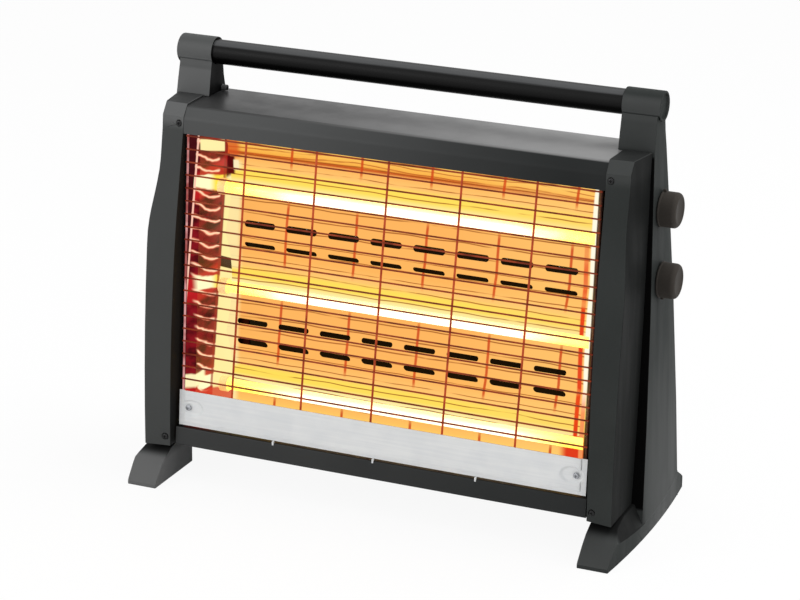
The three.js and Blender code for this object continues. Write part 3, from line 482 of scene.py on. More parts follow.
# %% Bands of the reflector
SHEET_FOOT, SHEET_TOP = 50, 366     # the heights that the ramp of colours spans
WHITE_HOT = (255, 244, 190)
ORANGE = (251, 180, 94)
YELLOW = (254, 222, 92)
RUST = (196, 88, 34)
GOLD = (244, 176, 72)
UNDER_LOWEST_TUBE = (253, 206, 104)
ROUND_EACH_TUBE = (
    (-30, ORANGE), (-14, ORANGE), (-6, WHITE_HOT), (4, YELLOW), (11, YELLOW),
    (17, (253, 196, 112)), (32, ORANGE))
OVER_TOP_TUBE = ((28, ORANGE), (30, RUST), (32, RUST), (34, GOLD), (44, (250, 198, 96)), (60, GOLD))


def glow_stops():
    """The reflector's colours from its foot to its top, at shares of its height."""
    heights = [(tube + rise, colour) for tube in reversed(TUBES_MM) for rise, colour in ROUND_EACH_TUBE]
    heights[0] = (heights[0][0], UNDER_LOWEST_TUBE)
    heights[-1:] = [(TUBES_MM[0] + rise, colour) for rise, colour in OVER_TOP_TUBE]
    return [((z - SHEET_FOOT) / (SHEET_TOP - SHEET_FOOT), colour) for z, colour in heights]


# %% Glow of the reflector
IMAGE_SLANT = 0.07              # lean of the uprights' mirror images
IMAGE_STEP = 24                 # and how far to the right of the uprights they show


def reflector_glow():
    paint = Paint("reflector_glow", Metallic=1.0, Emission_Strength=1.0, Roughness=0.3)
    across = along_sight(paint)
    wobble = paint.noise(26, detail=2, stretch=(0.5, 1, 1)) - 0.5
    streaks = paint.noise(60, stretch=(0.3, 1, 1))
    trough = nearest_of([tube + 2 for tube in TUBES_MM], paint.z)
    # the bars' images are lines along the sheet, finer and closer in its top
    bars = (paint.z + wobble * 6).wrapped(12.6).fade(0.95, 0.25) * streaks.fade(0.28, 0.5)
    fine = (paint.z + wobble * 12).wrapped(5.6).fade(1.0, 0.3) * streaks.fade(0.35, 0.5)
    # the uprights' images lean, and fade where a tube outshines them
    images = [place * cos(CAMERA_TURN) + IMAGE_STEP for place in UPRIGHTS]
    image = nearest_of(images, across + wobble * 2 + (OPENING_TOP - paint.z) * IMAGE_SLANT)
    uprights = image.fade(1.9, 0.7) * trough.fade(14, 26)
    # the bright end plates are mirrored in both ends of the sheet
    left_strip = (across - paint.z * 0.03).fade(-184, -192) * paint.z.fade(322, 312)
    top_left = across.fade(-178, -185) * paint.z.fade(318, 324)
    dark_square = across.fade(-185, -188) * paint.z.band(303, 321, 2)
    white_patch = across.band(-187, -183, 1.5) * paint.z.band(308, 317, 2)
    from_right = across - paint.z * 0.025
    red_image = from_right.band(160.8, 163.4, 1.6) * paint.z.fade(286, 276)
    red_image = red_image * (0.35 + wobble.fade(-0.2, 0.1)).lesser(1.0)
    low_red = (paint.z - (from_right - 140) * 0.6).fade(63, 60) * from_right.fade(145, 155)
    right_edge = paint.mix(paint.z.fade(100, 140), (244, 150, 90), (255, 250, 226))
    # painted shadow: right behind the panel's lower edge the sheet is painted black
    foot = paint.z.fade(68, 65) * paint.y.fade(-10, -20)
    height = (paint.z - SHEET_FOOT) / (SHEET_TOP - SHEET_FOOT)
    glow = paint.layers(
        paint.add("ShaderNodeValToRGB", {}, {"Fac": height}, stops=glow_stops()),
        # towards its right end the sheet is a shade yellower
        ((paint.x - CENTRE_MM).fade(20, 160, 0.0, 0.35), (255, 210, 120)),
        (bars * 0.85, (146, 72, 20)),
        (fine * paint.z.fade(322, 328) * 0.75, (176, 74, 26)),
        (uprights * 0.9, (202, 62, 22)),
        (left_strip * trough.fade(6, 13) * 0.85, (252, 236, 170)),
        (top_left * 0.8, (214, 84, 34)),
        (dark_square, (84, 8, 12)),
        (white_patch, (252, 236, 190)),
        (red_image, (226, 62, 24)),
        (low_red, (222, 58, 28)),
        (from_right.fade(165.2, 166.8), right_edge),
        (foot, BLACK))
    paint.set(Base_Color=(58, 34, 18), Emission_Color=glow)
    return paint.material


REFLECTOR = reflector_glow()


# %% Glow of the left end plate
PLATE_GROUND = (40, 12, 10)
PLATE_FRONT = -52
# seen along the plate its depth is squeezed, so the patterns on it are stretched to match
SQUEEZED = (1, 0.4, 1)


def end_plate(name, side, pattern):
    """Only the faces that look at the tubes have a painted glow; side is -1 for the left plate."""
    paint = Paint(name, Metallic=1.0, Emission_Strength=1.0, Roughness=0.25)
    inward = (paint.face_x * -side).fade(0.1, 0.3)
    paint.set(Base_Color=PLATE_GROUND, Emission_Color=paint.mix(inward, BLACK, pattern(paint)))
    return paint.material


def left_plate_glow(paint):
    """Painted glow and painted reflection: deep red, with the pale arcs in which the polished end plate
    shows the grille.
    """
    across = along_sight(paint)
    inside = paint.y - PLATE_FRONT
    wobble = (paint.noise(60, detail=2, stretch=SQUEEZED) - 0.5) * 9
    cloud = paint.noise(70, stretch=SQUEEZED).fade(0.36, 0.62)
    by_tube = nearest_of([tube + 12 for tube in TUBES_MM], paint.z).fade(18, 11)
    arcs = (paint.z + inside * 0.66 - inside * inside * 0.0054 + wobble - 10.2).wrapped(13.4)
    broken = paint.noise(30, stretch=SQUEEZED).fade(0.34, 0.44) * paint.y.band(-54, -4, 5)
    covers = [
        (by_tube * 0.7, (206, 32, 36)),
        (arcs.fade(2.6, 1.0) * broken, (226, 120, 96)),
        (arcs.fade(1.4, 0.5) * broken, (255, 214, 176)),
    ]
    # a yellow blob above each tube, and one under the casing's lid
    warm = paint.mix(paint.y.fade(-26, -8), (255, 250, 200), (255, 224, 70))
    for tube in TUBES_MM:
        sunk = abs(paint.z + inside * 0.28 - tube - 17.5 + wobble)
        covers.append((sunk.fade(8.5, 6) * paint.y.fade(-58, -52), warm))
    lid = abs(paint.z + (paint.y + 39) * 0.27 - 349)
    covers.append((lid.fade(7, 5) * paint.y.band(-42, 9, 3), (255, 240, 170)))
    # behind the plate's edge the reflector's end is mirrored, with one dark square that stays
    # level in the photograph
    edge = across - paint.z * 0.0623 + 215.3
    square = across.fade(-186, -189) * (paint.z + (paint.y - 8) * 0.42).band(205, 216, 1)
    behind = paint.layers(
        (252, 234, 160),
        (paint.z.fade(298, 303), (84, 8, 12)),
        (paint.z.fade(322, 327), (226, 92, 40)),
        (square, (20, 2, 4)))
    # it turns red again right above the panel, and folds to a bright line at its front
    low = (paint.z + inside * 0.26 + wobble * 0.5).fade(90, 87)
    fold = across - paint.z * 0.082 + 248.5
    low_blob = abs(paint.z + wobble - (TUBES_MM[2] + 22)).fade(9, 6)
    covers += [
        (abs(edge).fade(1.6, 0.6) * 0.8, (150, 40, 30)),
        (edge.fade(0.8, 2.2), behind),
        (low * 0.9, (206, 40, 34)),
        (fold.fade(-0.8, -1.6), (58, 8, 16)),
        (abs(fold).fade(1.2, 0.6), (255, 200, 176)),
        (low_blob * paint.y.fade(-36, -44), WHITE_HOT),
        # behind the reflector no light reaches the plate
        (paint.y.fade(26, 27), BLACK),
    ]
    return paint.layers(paint.mix(cloud, (58, 5, 12), (132, 16, 28)), *covers)


# %% Glow of the right end plate
def right_plate_glow(paint):
    """Only its flange shows, with a painted glow: white, and yellow to orange at the foot."""
    across = along_sight(paint)
    flange = (across - paint.z * 0.0275).fade(164.1, 162.9)
    colour = paint.layers(
        (226, 104, 40),
        (paint.z.fade(96, 128), (255, 214, 96)),
        (paint.z.fade(130, 175), (255, 252, 236)),
        (paint.noise(70, detail=2).fade(0.5, 0.7, 0.0, 0.3), (255, 226, 130)))
    return paint.mix(flange, (20, 8, 8), colour)


END_PLATES = {
    "left": end_plate("left_plate_glow", -1, left_plate_glow),
    "right": end_plate("right_plate_glow", 1, right_plate_glow),
}


# %% Wires with a painted glow
# The grille's wires are no lamps: their glow is painted light from the tubes.
def painted_glow_wire(name, dark, light):
    paint = Paint(name, Metallic=0.8, Roughness=0.4, Emission_Strength=1.0)
    patch = paint.noise(60, detail=2)
    paint.set(
        Emission_Color=paint.mix(patch.fade(0.35, 0.65), dark, light),
        Base_Color=paint.mix(patch.fade(0.3, 0.7), (60, 30, 20), (90, 48, 30)))
    return paint.material


BAR_WIRE = painted_glow_wire("glow_painted_bar_wire", (92, 26, 12), (128, 44, 20))
UPRIGHT_WIRE = painted_glow_wire("glow_painted_upright_wire", (140, 44, 20), (174, 64, 30))
# The left end wire is painted pale, as lit by the glow, and the right one near black, as painted shade.
END_WIRES = {
    "left": painted_glow_wire("lit_left_end_wire", (150, 70, 70), (206, 150, 150)),
    "right": painted_glow_wire("shaded_right_end_wire", (12, 6, 6), (24, 12, 12)),
}


# %% Quartz, coils and ceramic
def glowing_quartz():
    """White in the middle of the heater and yellow towards the ends, where the coil is cooler."""
    paint = Paint("glowing_quartz", Roughness=0.08, Alpha=0.82, Emission_Strength=1.0)
    frost = paint.noise(90, detail=2, stretch=(0.3, 1, 1))
    cool = (abs(paint.x - CENTRE_MM) + (frost - 0.5) * 50).fade(105, 175)
    above = [paint.z - tube for tube in TUBES_MM]
    crown = sum(rise.fade(1.5, 5.5) * abs(rise).fade(9, 8) for rise in above)
    paint.set(
        Emission_Color=paint.layers(
            (255, 253, 236), (cool, (255, 226, 70)), (crown * 0.8, (255, 228, 84))),
        Base_Color=paint.mix(frost, (250, 236, 200), (255, 248, 230)))
    return paint.material


def glowing_coil():
    paint = Paint("glowing_coil", Roughness=0.5, Metallic=0.3, Emission_Strength=2.0)
    cool = abs(paint.x - CENTRE_MM).fade(150, 205)
    paint.set(
        Emission_Color=paint.mix(cool, (255, 246, 200), (255, 150, 40)),
        Base_Color=paint.mix(paint.noise(400), (120, 90, 60), (160, 120, 80)))
    return paint.material


def glazed_ceramic_with_painted_glow():
    # painted light: the caps glow yellow as if lit by the hot tubes beside them
    paint = Paint("ceramic", Roughness=0.55, Emission_Strength=0.6)
    speck = paint.noise(500)
    paint.set(
        Base_Color=paint.mix(speck.fade(0.4, 0.7), (236, 230, 216), (214, 206, 190)),
        Emission_Color=paint.mix(speck, (250, 190, 90), (252, 214, 120)))
    paint.bump(speck, 0.04, 0.4)
    return paint.material


QUARTZ = glowing_quartz()
COIL = glowing_coil()
CERAMIC = glazed_ceramic_with_painted_glow()
print(len(bpy.data.materials), "materials")

# %% [markdown]
# ## From a bmesh to a finished piece
# Every new piece ends the same way: its mesh gets a material, smooth shading with sharp creases and a
# body to ride on, and the solids that it stands for are hidden.

# %% Finishing a piece
CREASE = radians(32)


def shaded(mesh):
    """Smooth, but sharp where two faces meet at more than the crease angle."""
    mesh.shade_smooth()
    mesh.set_sharp_from_angle(angle=CREASE)


def finished(name, bm, material, stands_for=(), body="heater"):
    mesh = bpy.data.meshes.new(name)
    bm.to_mesh(mesh)
    bm.free()
    mesh.materials.append(material)
    shaded(mesh)
    piece = placed(name, mesh)
    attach(piece, body)
    if stands_for:
        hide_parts(*stands_for)
    print(f"{name}: {len(mesh.polygons)} faces")
    return piece


def settled(piece):
    """The piece's mesh with its modifiers worked in."""
    graph = bpy.context.evaluated_depsgraph_get()
    mesh = bpy.data.meshes.new_from_object(piece.evaluated_get(graph))
    piece.modifiers.clear()
    piece.data = mesh
    return mesh


def show_box(piece):
    corners = [piece.matrix_world @ Vector(corner) for corner in piece.bound_box]
    spans = [(min(c[i] for c in corners), max(c[i] for c in corners)) for i in range(3)]
    print(piece.name, [tuple(round(v / MM, 2) for v in span) for span in spans])


# %% [markdown]
# ## Folded sheet metal
# The casing is bent on a press brake, so it has one section along its whole length, with a small
# radius at each bend. A line of points is extruded along the length, the creases are bevelled to
# the bend radius, and Solidify gives the sheet its thickness: the same order as in the workshop.

# %% Bent sheets
def rounded(bm, edges, width, segments):
    bmesh.ops.bevel(
        bm, geom=edges, offset=width, offset_type="OFFSET", affect="EDGES", segments=segments,
        profile=0.5, material=-1)


def bent_sheet(node, line, radius, thickness):
    """As long as the node, with an outer face that follows a line of (y, z) points in millimetres."""
    low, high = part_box(node)
    bm = bmesh.new()
    points = [bm.verts.new((low.x, y * MM, z * MM)) for y, z in line]
    folds = [bm.edges.new(pair) for pair in zip(points, points[1:])]
    swept = bmesh.ops.extrude_edge_only(bm, edges=folds)["geom"]
    for corner in swept:
        if isinstance(corner, bmesh.types.BMVert):
            corner.co.x = high.x
    creases = [edge for edge in bm.edges if len(edge.link_faces) == 2]
    if radius:
        rounded(bm, creases, radius, segments=6)
    bm.normal_update()
    bmesh.ops.solidify(bm, geom=bm.faces[:], thickness=-thickness)
    bmesh.ops.recalc_face_normals(bm, faces=bm.faces[:])
    return bm


# %% Casing
SHEET = 1.0 * MM
CASING_TOP, CASING_BOTTOM = 391, 37
REAR_TOP_Y, REAR_BOTTOM_Y = 31, 45
REAR_LAP = 12                   # of the cover and the tray over the rear panel
COVER_BEND, TRAY_BEND = 2.4 * MM, 1.6 * MM
STRIP_TOP = 57


def rear_y(z):
    """The rear of the casing leans: its y at a height, in millimetres."""
    share = (z - CASING_BOTTOM) / (CASING_TOP - CASING_BOTTOM)
    return REAR_BOTTOM_Y + (REAR_TOP_Y - REAR_BOTTOM_Y) * share


cover_end, tray_end = CASING_TOP - REAR_LAP, CASING_BOTTOM + REAR_LAP
cover_line = [
    (rear_y(cover_end), cover_end), (REAR_TOP_Y, CASING_TOP), (-48, CASING_TOP), (-56, 379.5),
    (-57, OPENING_TOP)]
tray_line = [
    (-74.5, STRIP_TOP), (-80.5, STRIP_TOP), (-82, CASING_BOTTOM), (REAR_BOTTOM_Y, CASING_BOTTOM),
    (rear_y(tray_end), tray_end)]
show_box(finished(
    "top_cover_sheet", bent_sheet("top_cover", cover_line, COVER_BEND, SHEET), CASING,
    ["top_cover"]))
show_box(finished(
    "bottom_tray_sheet", bent_sheet("bottom_tray", tray_line, TRAY_BEND, SHEET), CASING,
    ["bottom_tray"]))

# %% [markdown]
# ## The reflector
# The reflector is a thin polished sheet rolled into three shallow troughs, one behind each tube. Its
# section is a row of parabolas, so it is drawn by a formula. Rounded slots let the heat out at the
# back; they are punched with a Boolean, after the sheet has its thickness, so that each has a wall.

# %% Reflector sheet
REFLECTOR_SHEET = 0.7 * MM
REFLECTOR_TOP, REFLECTOR_FOOT = OPENING_TOP - 2, 59
TOP_BEHIND, FOOT_BEHIND = 6, 9  # of the sheet's two edges behind the grille
TROUGH_FLOOR, TROUGH_RISE, TROUGH_HALF = 24, 14, 54
TROUGH_TOP, TROUGH_BOTTOM, TROUGH_STEPS = 341, 52, 96
GRILLE_TOP_Y, GRILLE_LEAN = -56, 0.067


def grille_y(z):
    """Plane of the grille's bars, in millimetres."""
    return GRILLE_TOP_Y - (OPENING_TOP - z) * GRILLE_LEAN


def trough_y(z):
    nearest = min(TUBES_MM, key=lambda tube: abs(tube - z))
    return TROUGH_FLOOR - TROUGH_RISE * ((z - nearest) / TROUGH_HALF) ** 2


reflector_line = [(grille_y(OPENING_TOP) + TOP_BEHIND, REFLECTOR_TOP)]
for step in range(TROUGH_STEPS + 1):
    z = TROUGH_TOP + (TROUGH_BOTTOM - TROUGH_TOP) * step / TROUGH_STEPS
    reflector_line.append((trough_y(z), z))
reflector_line.append((grille_y(TROUGH_BOTTOM) + FOOT_BEHIND, REFLECTOR_FOOT))
reflector = finished(
    "reflector_sheet", bent_sheet("reflector", reflector_line, 0, REFLECTOR_SHEET), REFLECTOR,
    ["reflector"])


# %% Punching
def merged(parts):
    whole = bmesh.new()
    for part in parts:
        mesh = bpy.data.meshes.new("part")
        part.to_mesh(mesh)
        part.free()
        whole.from_mesh(mesh)
        bpy.data.meshes.remove(mesh)
    return whole


def punched(piece, tools):
    """Takes the tools' shapes out of the piece."""
    mesh = bpy.data.meshes.new("cutter")
    shape = merged(tools)
    shape.to_mesh(mesh)
    shape.free()
    cutter = placed("cutter", mesh)
    cut = piece.modifiers.new("punch", "BOOLEAN")
    cut.object = cutter
    cut.solver = "EXACT"
    cut.use_self = True             # the tools may cross each other
    mesh = settled(piece)
    bpy.data.objects.remove(cutter)
    shaded(mesh)
    print(f"{piece.name}: {len(mesh.polygons)} faces after punching")


# %% Slots
SLOT_COUNT, SLOT_PITCH, SLOT_LENGTH, SLOT_REACH = 8, 47.4, 35, 30
SLOT_ROW = 11.3                 # of each row above or below the ridge between two troughs
SLOT_HEIGHTS = ((6.8, 5.8), (5.4, 7.4))
SLOT_STEP = 9                   # each pair of rows sits this much further to the left


def slug(height, x, z):
    """A rounded bar along x, as long as a punched slot."""
    bm = bmesh.new()
    half = (SLOT_LENGTH - height) / 2 * MM
    bmesh.ops.create_cone(
        bm, cap_ends=True, segments=24, radius1=height / 2 * MM, radius2=height / 2 * MM,
        depth=SLOT_REACH * MM, matrix=Matrix.Rotation(pi / 2, 4, "X"))
    for vertex in bm.verts:
        vertex.co.x += half if vertex.co.x > 0 else -half
    bmesh.ops.translate(bm, verts=bm.verts[:], vec=(x, trough_y(z) * MM, z * MM))
    return bm


slots = []
for pair, pair_heights in enumerate(SLOT_HEIGHTS, start=1):
    ridge = (TUBES_MM[pair - 1] + TUBES_MM[pair]) / 2
    for z, height in zip((ridge + SLOT_ROW, ridge - SLOT_ROW), pair_heights):
        for step in row(SLOT_COUNT, SLOT_PITCH):
            slots.append(slug(height, CENTRE_X + (step - pair * SLOT_STEP) * MM, z))
punched(reflector, slots)
show_box(reflector)

# %% [markdown]
# ## The wire grille
# Twenty-one bars are welded to the uprights behind them. The bars are thin, the uprights a little
# thicker, and every wire ends in a small rounded tip, so each is one cylinder whose end rings are
# bevelled. The whole grille leans, so each wire is laid between two points of the leaning plane.

# %% Bars
BAR_COUNT, BAR_RADIUS = 21, 0.9 * MM
BAR_TOP, BAR_BOTTOM = OPENING_TOP - 2, 94.5
TIP_EASE = 0.4                  # of a wire's radius


def wire(start, end, radius):
    """A round wire with eased ends."""
    bm = bmesh.new()
    turn = (end - start).to_track_quat("Z", "Y").to_matrix().to_4x4()
    bmesh.ops.create_cone(
        bm, cap_ends=True, segments=10, radius1=radius, radius2=radius, depth=(end - start).length)
    rims = [edge for edge in bm.edges if abs(edge.verts[0].co.z - edge.verts[1].co.z) < radius / 10]
    rounded(bm, rims, radius * TIP_EASE, segments=2)
    bmesh.ops.transform(bm, verts=bm.verts[:], matrix=Matrix.Translation((start + end) / 2) @ turn)
    return bm


grille_low, grille_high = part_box("wire_grille")
bars = []
for k in range(BAR_COUNT):
    z = BAR_TOP + (BAR_BOTTOM - BAR_TOP) * k / (BAR_COUNT - 1)
    ends = [Vector((x, grille_y(z) * MM, z * MM)) for x in (grille_low.x, grille_high.x)]
    bars.append(wire(*ends, BAR_RADIUS))
finished("grille_bars", merged(bars), BAR_WIRE, ["wire_grille"])

# %% Uprights
UPRIGHT_RADIUS, END_INSET = 1.1 * MM, 1.1 * MM
BEHIND = 1.75                   # of the uprights behind the bars
UPRIGHT_TOP, UPRIGHT_FOOT = OPENING_TOP + 8, 57.5
UPRIGHT_SLANT = 0.035           # the inner uprights lean to the left towards the foot


def upright(x, foot, slant=0.0):
    """x is its place at the top bar."""
    foot_point, top_point = (
        Vector((x + slant * (z - BAR_TOP) * MM, (grille_y(z) + BEHIND) * MM, z * MM))
        for z in (foot, UPRIGHT_TOP))
    return wire(foot_point, top_point, UPRIGHT_RADIUS)


inner = merged([upright(x * MM, UPRIGHT_FOOT, UPRIGHT_SLANT) for x in UPRIGHTS])
finished("grille_uprights", inner, UPRIGHT_WIRE, ["wire_grille"])
for side, x in (("left", grille_low.x + END_INSET), ("right", grille_high.x - END_INSET)):
    finished(
        f"grille_{side}_end_wire", upright(x, BAR_BOTTOM - 2), END_WIRES[side],
        ["wire_grille"])

# %% [markdown]
# ## The aluminium panel
# Below the opening a bright strip of soft aluminium hides the lowest tube's foot. It has an oval
# dish round each screw and a crease along its lower edge and down each end. A fine grid is pressed
# into shape by one function of x and z, as a die would do it, and then gets its thickness.

# %% Pressed panel
PANEL_SHEET = 0.8 * MM
PANEL_STEP_X, PANEL_STEP_Z = 0.9, 0.75
PANEL_FORWARD = 2.4             # of the panel's face before the grille's plane
DISH_X, DISH_Z, DISH_HALF_LENGTH, DISH_HALF_WIDTH, DISH_DEPTH = 208, 78, 12, 8, 1.9
DISH_RIM, DISH_RUN = 1.15, 0.3  # where the dish begins and how fast it falls, in its half sizes
CREASE_RISE, CREASE_END, CREASE_RUN, CREASE_DEPTH = 4.6, 6.5, 0.9, 1.3
panel_low, panel_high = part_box("lower_panel")
panel_centre = middle("lower_panel").x


def smooth(value, start, end):
    """From 0 at start to 1 at end with no kink, as fade does in a material."""
    share = min(max((value - start) / (end - start), 0), 1)
    return share * share * (3 - 2 * share)


def pressed(x, z):
    """How far the panel's face is pushed back, in millimetres; x is measured from its middle."""
    along, across = (abs(x) - DISH_X) / DISH_HALF_LENGTH, (z - DISH_Z) / DISH_HALF_WIDTH
    dish = DISH_DEPTH * smooth(DISH_RIM - (along ** 2 + across ** 2) ** 0.5, 0, DISH_RUN)
    low, end = panel_low.z / MM, (panel_high.x - CENTRE_X) / MM
    edge = max(
        smooth(low + CREASE_RISE - z, 0, CREASE_RUN),
        smooth(abs(x) - (end - CREASE_END), 0, CREASE_RUN))
    return max(dish, CREASE_DEPTH * edge)


def pressed_panel():
    bm = bmesh.new()
    width = panel_high.x - panel_low.x
    height = panel_high.z - panel_low.z
    bmesh.ops.create_grid(
        bm, x_segments=int(width / MM / PANEL_STEP_X), y_segments=int(height / MM / PANEL_STEP_Z),
        size=0.5)
    for vertex in bm.verts:
        x = vertex.co.x * width
        z = (vertex.co.y + 0.5) * height + panel_low.z
        y = grille_y(z / MM) - PANEL_FORWARD + pressed(x / MM, z / MM)
        vertex.co = (panel_centre + x, y * MM, z)
    bmesh.ops.recalc_face_normals(bm, faces=bm.faces[:])
    if sum(face.normal.y for face in bm.faces) > 0:
        bmesh.ops.reverse_faces(bm, faces=bm.faces[:])
    bmesh.ops.solidify(bm, geom=bm.faces[:], thickness=PANEL_SHEET)
    return bm


# %% Clips that hold the panel's lower edge on the strip
CLIPS, CLIP_SIZE, CLIP_Y, CLIP_Z = (-114, -3, 108), (1.6, 2.8, 4.0), -79.9, 56.8


def block(size, place=(0, 0, 0)):
    """A box by its three sizes and the place of its middle, in millimetres."""
    bm = bmesh.new()
    bmesh.ops.create_cube(bm, size=1.0)
    bmesh.ops.scale(bm, verts=bm.verts[:], vec=[span * MM for span in size])
    bmesh.ops.translate(bm, verts=bm.verts[:], vec=[step * MM for step in place])
    return bm


clips = [block(CLIP_SIZE, (panel_centre / MM + x, CLIP_Y, CLIP_Z)) for x in CLIPS]
show_box(finished(
    "pressed_panel", merged([pressed_panel()] + clips), ALUMINIUM, ["lower_panel"]))

# %% [markdown]
# ## Turned pieces
# Knobs, caps, tubes and screws are round, so half of their section is drawn once, as distances
# along the axis and radii, and spun. The spin closes on itself, its doubles are merged and its
# normals recalculated, because a spin can turn a shape inside out.

# %% Spinning
WELD = 1e-6


def turned(profile, segments, origin=(0, 0, 0), tilt=0.0, closed=True, axis="X"):
    """Spins (distance, radius) points, in millimetres, round an axis through the origin given."""
    bm = bmesh.new()
    points = [bm.verts.new((along * MM, 0, radius * MM)) for along, radius in profile]
    pairs = list(zip(points, points[1:]))
    if closed:
        pairs.append((points[-1], points[0]))
    edges = [bm.edges.new(pair) for pair in pairs]
    bmesh.ops.spin(
        bm, geom=points + edges, cent=(0, 0, 0), axis=(1, 0, 0), angle=2 * pi, steps=segments,
        use_merge=True)
    bmesh.ops.remove_doubles(bm, verts=bm.verts[:], dist=WELD)
    bmesh.ops.recalc_face_normals(bm, faces=bm.faces[:])
    turn = Matrix.Rotation(pi / 2, 4, "Z") if axis == "Y" else Matrix.Identity(4)
    lean = Matrix.Rotation(tilt, 4, "X")
    bmesh.ops.transform(bm, verts=bm.verts[:], matrix=Matrix.Translation(origin) @ lean @ turn)
    return bm


# %% Handle
HANDLE_RADIUS, HANDLE_WALL, HANDLE_EASE = 12.5, 1.5, 0.5
handle_low, handle_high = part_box("handle_tube")
handle_middle = middle("handle_tube")
handle_half = (handle_high.x - handle_low.x) / 2 / MM
handle_profile = [
    (-handle_half + HANDLE_EASE, HANDLE_RADIUS), (handle_half - HANDLE_EASE, HANDLE_RADIUS),
    (handle_half, HANDLE_RADIUS - HANDLE_EASE), (handle_half, HANDLE_RADIUS - HANDLE_WALL),
    (-handle_half, HANDLE_RADIUS - HANDLE_WALL), (-handle_half, HANDLE_RADIUS - HANDLE_EASE),
]
handle_origin = (CENTRE_X, handle_middle.y, handle_middle.z)
show_box(finished(
    "handle_bar", turned(handle_profile, segments=72, origin=handle_origin), HANDLE,
    ["handle_tube"]))

# %% [markdown]
# ## The knobs
# Each knob is a turned cap with a thin skirt, a rounded rim and a face dished by half a millimetre.
# A small block on the skirt is its pointer. It rides on the body of its own switch and turns with it.

# %% Knobs
KNOB_RADIUS, KNOB_LENGTH, KNOB_ROUND, KNOB_WALL = 17.6, 18.0, 4.5, 3
KNOB_BORE, KNOB_BORE_FROM, KNOB_BORE_TO = 3.4, 4, 13
SKIRT = KNOB_RADIUS + 0.5
POINTER_SIZE, POINTER_EASE = (3.0, 3.6, 3.0), 0.6 * MM


def arc(centre_along, centre_radius, radius, start, end, steps):
    """Points of a rounding, from one angle to another, in degrees."""
    angles = [radians(start + (end - start) * k / steps) for k in range(steps + 1)]
    return [(centre_along + radius * cos(a), centre_radius + radius * sin(a)) for a in angles]


def knob_shape(origin, pointing):
    """pointing is 1 for a pointer that looks up and -1 for one that looks down."""
    rim = arc(KNOB_LENGTH - KNOB_ROUND, KNOB_RADIUS - KNOB_ROUND, KNOB_ROUND, 0, 90, 8)
    profile = [
        (KNOB_BORE_FROM, KNOB_BORE), (KNOB_BORE_FROM, KNOB_RADIUS - KNOB_WALL),
        (0, KNOB_RADIUS - KNOB_WALL), (0, SKIRT - 0.3), (0.3, SKIRT), (1.2, SKIRT),
        (1.6, SKIRT - 0.3), (1.8, KNOB_RADIUS), (2.4, KNOB_RADIUS), *reversed(rim),
        (KNOB_LENGTH - 0.1, 12.4), (KNOB_LENGTH - 0.5, 11.6), (KNOB_LENGTH - 0.6, 0),
        (KNOB_BORE_TO, 0), (KNOB_BORE_TO, KNOB_BORE),
    ]
    pointer = block(POINTER_SIZE)
    rounded(pointer, pointer.edges[:], POINTER_EASE, segments=3)
    bmesh.ops.translate(pointer, verts=pointer.verts[:], vec=(1.9 * MM, 0, (SKIRT + 0.45) * MM))
    whole = merged([turned(profile, segments=96), pointer])
    turn = Matrix.Rotation(0 if pointing > 0 else pi, 4, "X")
    bmesh.ops.transform(whole, verts=whole.verts[:], matrix=Matrix.Translation(origin) @ turn)
    return whole


joints = {joint["name"]: joint for joint in frame["joints"]}
for level, pointing in (("upper", 1), ("lower", -1)):
    low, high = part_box(f"{level}_knob")
    _, y, z = joints[f"{level}_knob_turn"]["pos_m"]
    show_box(finished(
        f"{level}_control_knob", knob_shape(Vector((low.x, y, z)), pointing), KNOB_PLASTIC,
        [f"{level}_knob"], body=f"{level}_knob"))

# %% [markdown]
# ## Tubes, coils and caps
# Each lamp is a quartz tube with a wound wire in it. A coil is a small circle spun round the tube's
# axis while it moves along it: the same operator as for a turned piece, with a step of travel. The
# ceramic caps hold the tubes in the end plates.

# %% Coils
COIL_RADIUS, COIL_WIRE, COIL_TURNS, COIL_HALF = 3.2 * MM, 0.5 * MM, 104, 193 * MM
STEPS_PER_TURN = 12
LEAD_START, LEAD_END = COIL_HALF + 3.6 * MM, 224 * MM
LEAD_BEND = COIL_HALF + 4 * MM


def coil_shape(origin):
    bm = bmesh.new()
    turn_to_path = Matrix.Rotation(pi / 2, 4, "X")
    start = Vector((-COIL_HALF, 0, COIL_RADIUS))
    ring = bmesh.ops.create_circle(
        bm, cap_ends=False, segments=6, radius=COIL_WIRE, matrix=Matrix.Translation(start) @ turn_to_path)
    steps = COIL_TURNS * STEPS_PER_TURN
    bmesh.ops.spin(
        bm, geom=ring["verts"] + bm.edges[:], cent=(0, 0, 0), axis=(1, 0, 0),
        dvec=(2 * COIL_HALF / steps, 0, 0), angle=2 * pi * COIL_TURNS, steps=steps)
    bmesh.ops.holes_fill(bm, edges=[edge for edge in bm.edges if edge.is_boundary], sides=6)
    bmesh.ops.recalc_face_normals(bm, faces=bm.faces[:])
    parts = [bm]
    for side in (-1, 1):
        seat = Vector((side * COIL_HALF, 0, COIL_RADIUS))
        parts.append(wire(seat, Vector((side * LEAD_BEND, 0, 0)), COIL_WIRE))
        parts.append(wire(Vector((side * LEAD_START, 0, 0)), Vector((side * LEAD_END, 0, 0)), COIL_WIRE))
    whole = merged(parts)
    bmesh.ops.translate(whole, verts=whole.verts[:], vec=origin)
    return whole


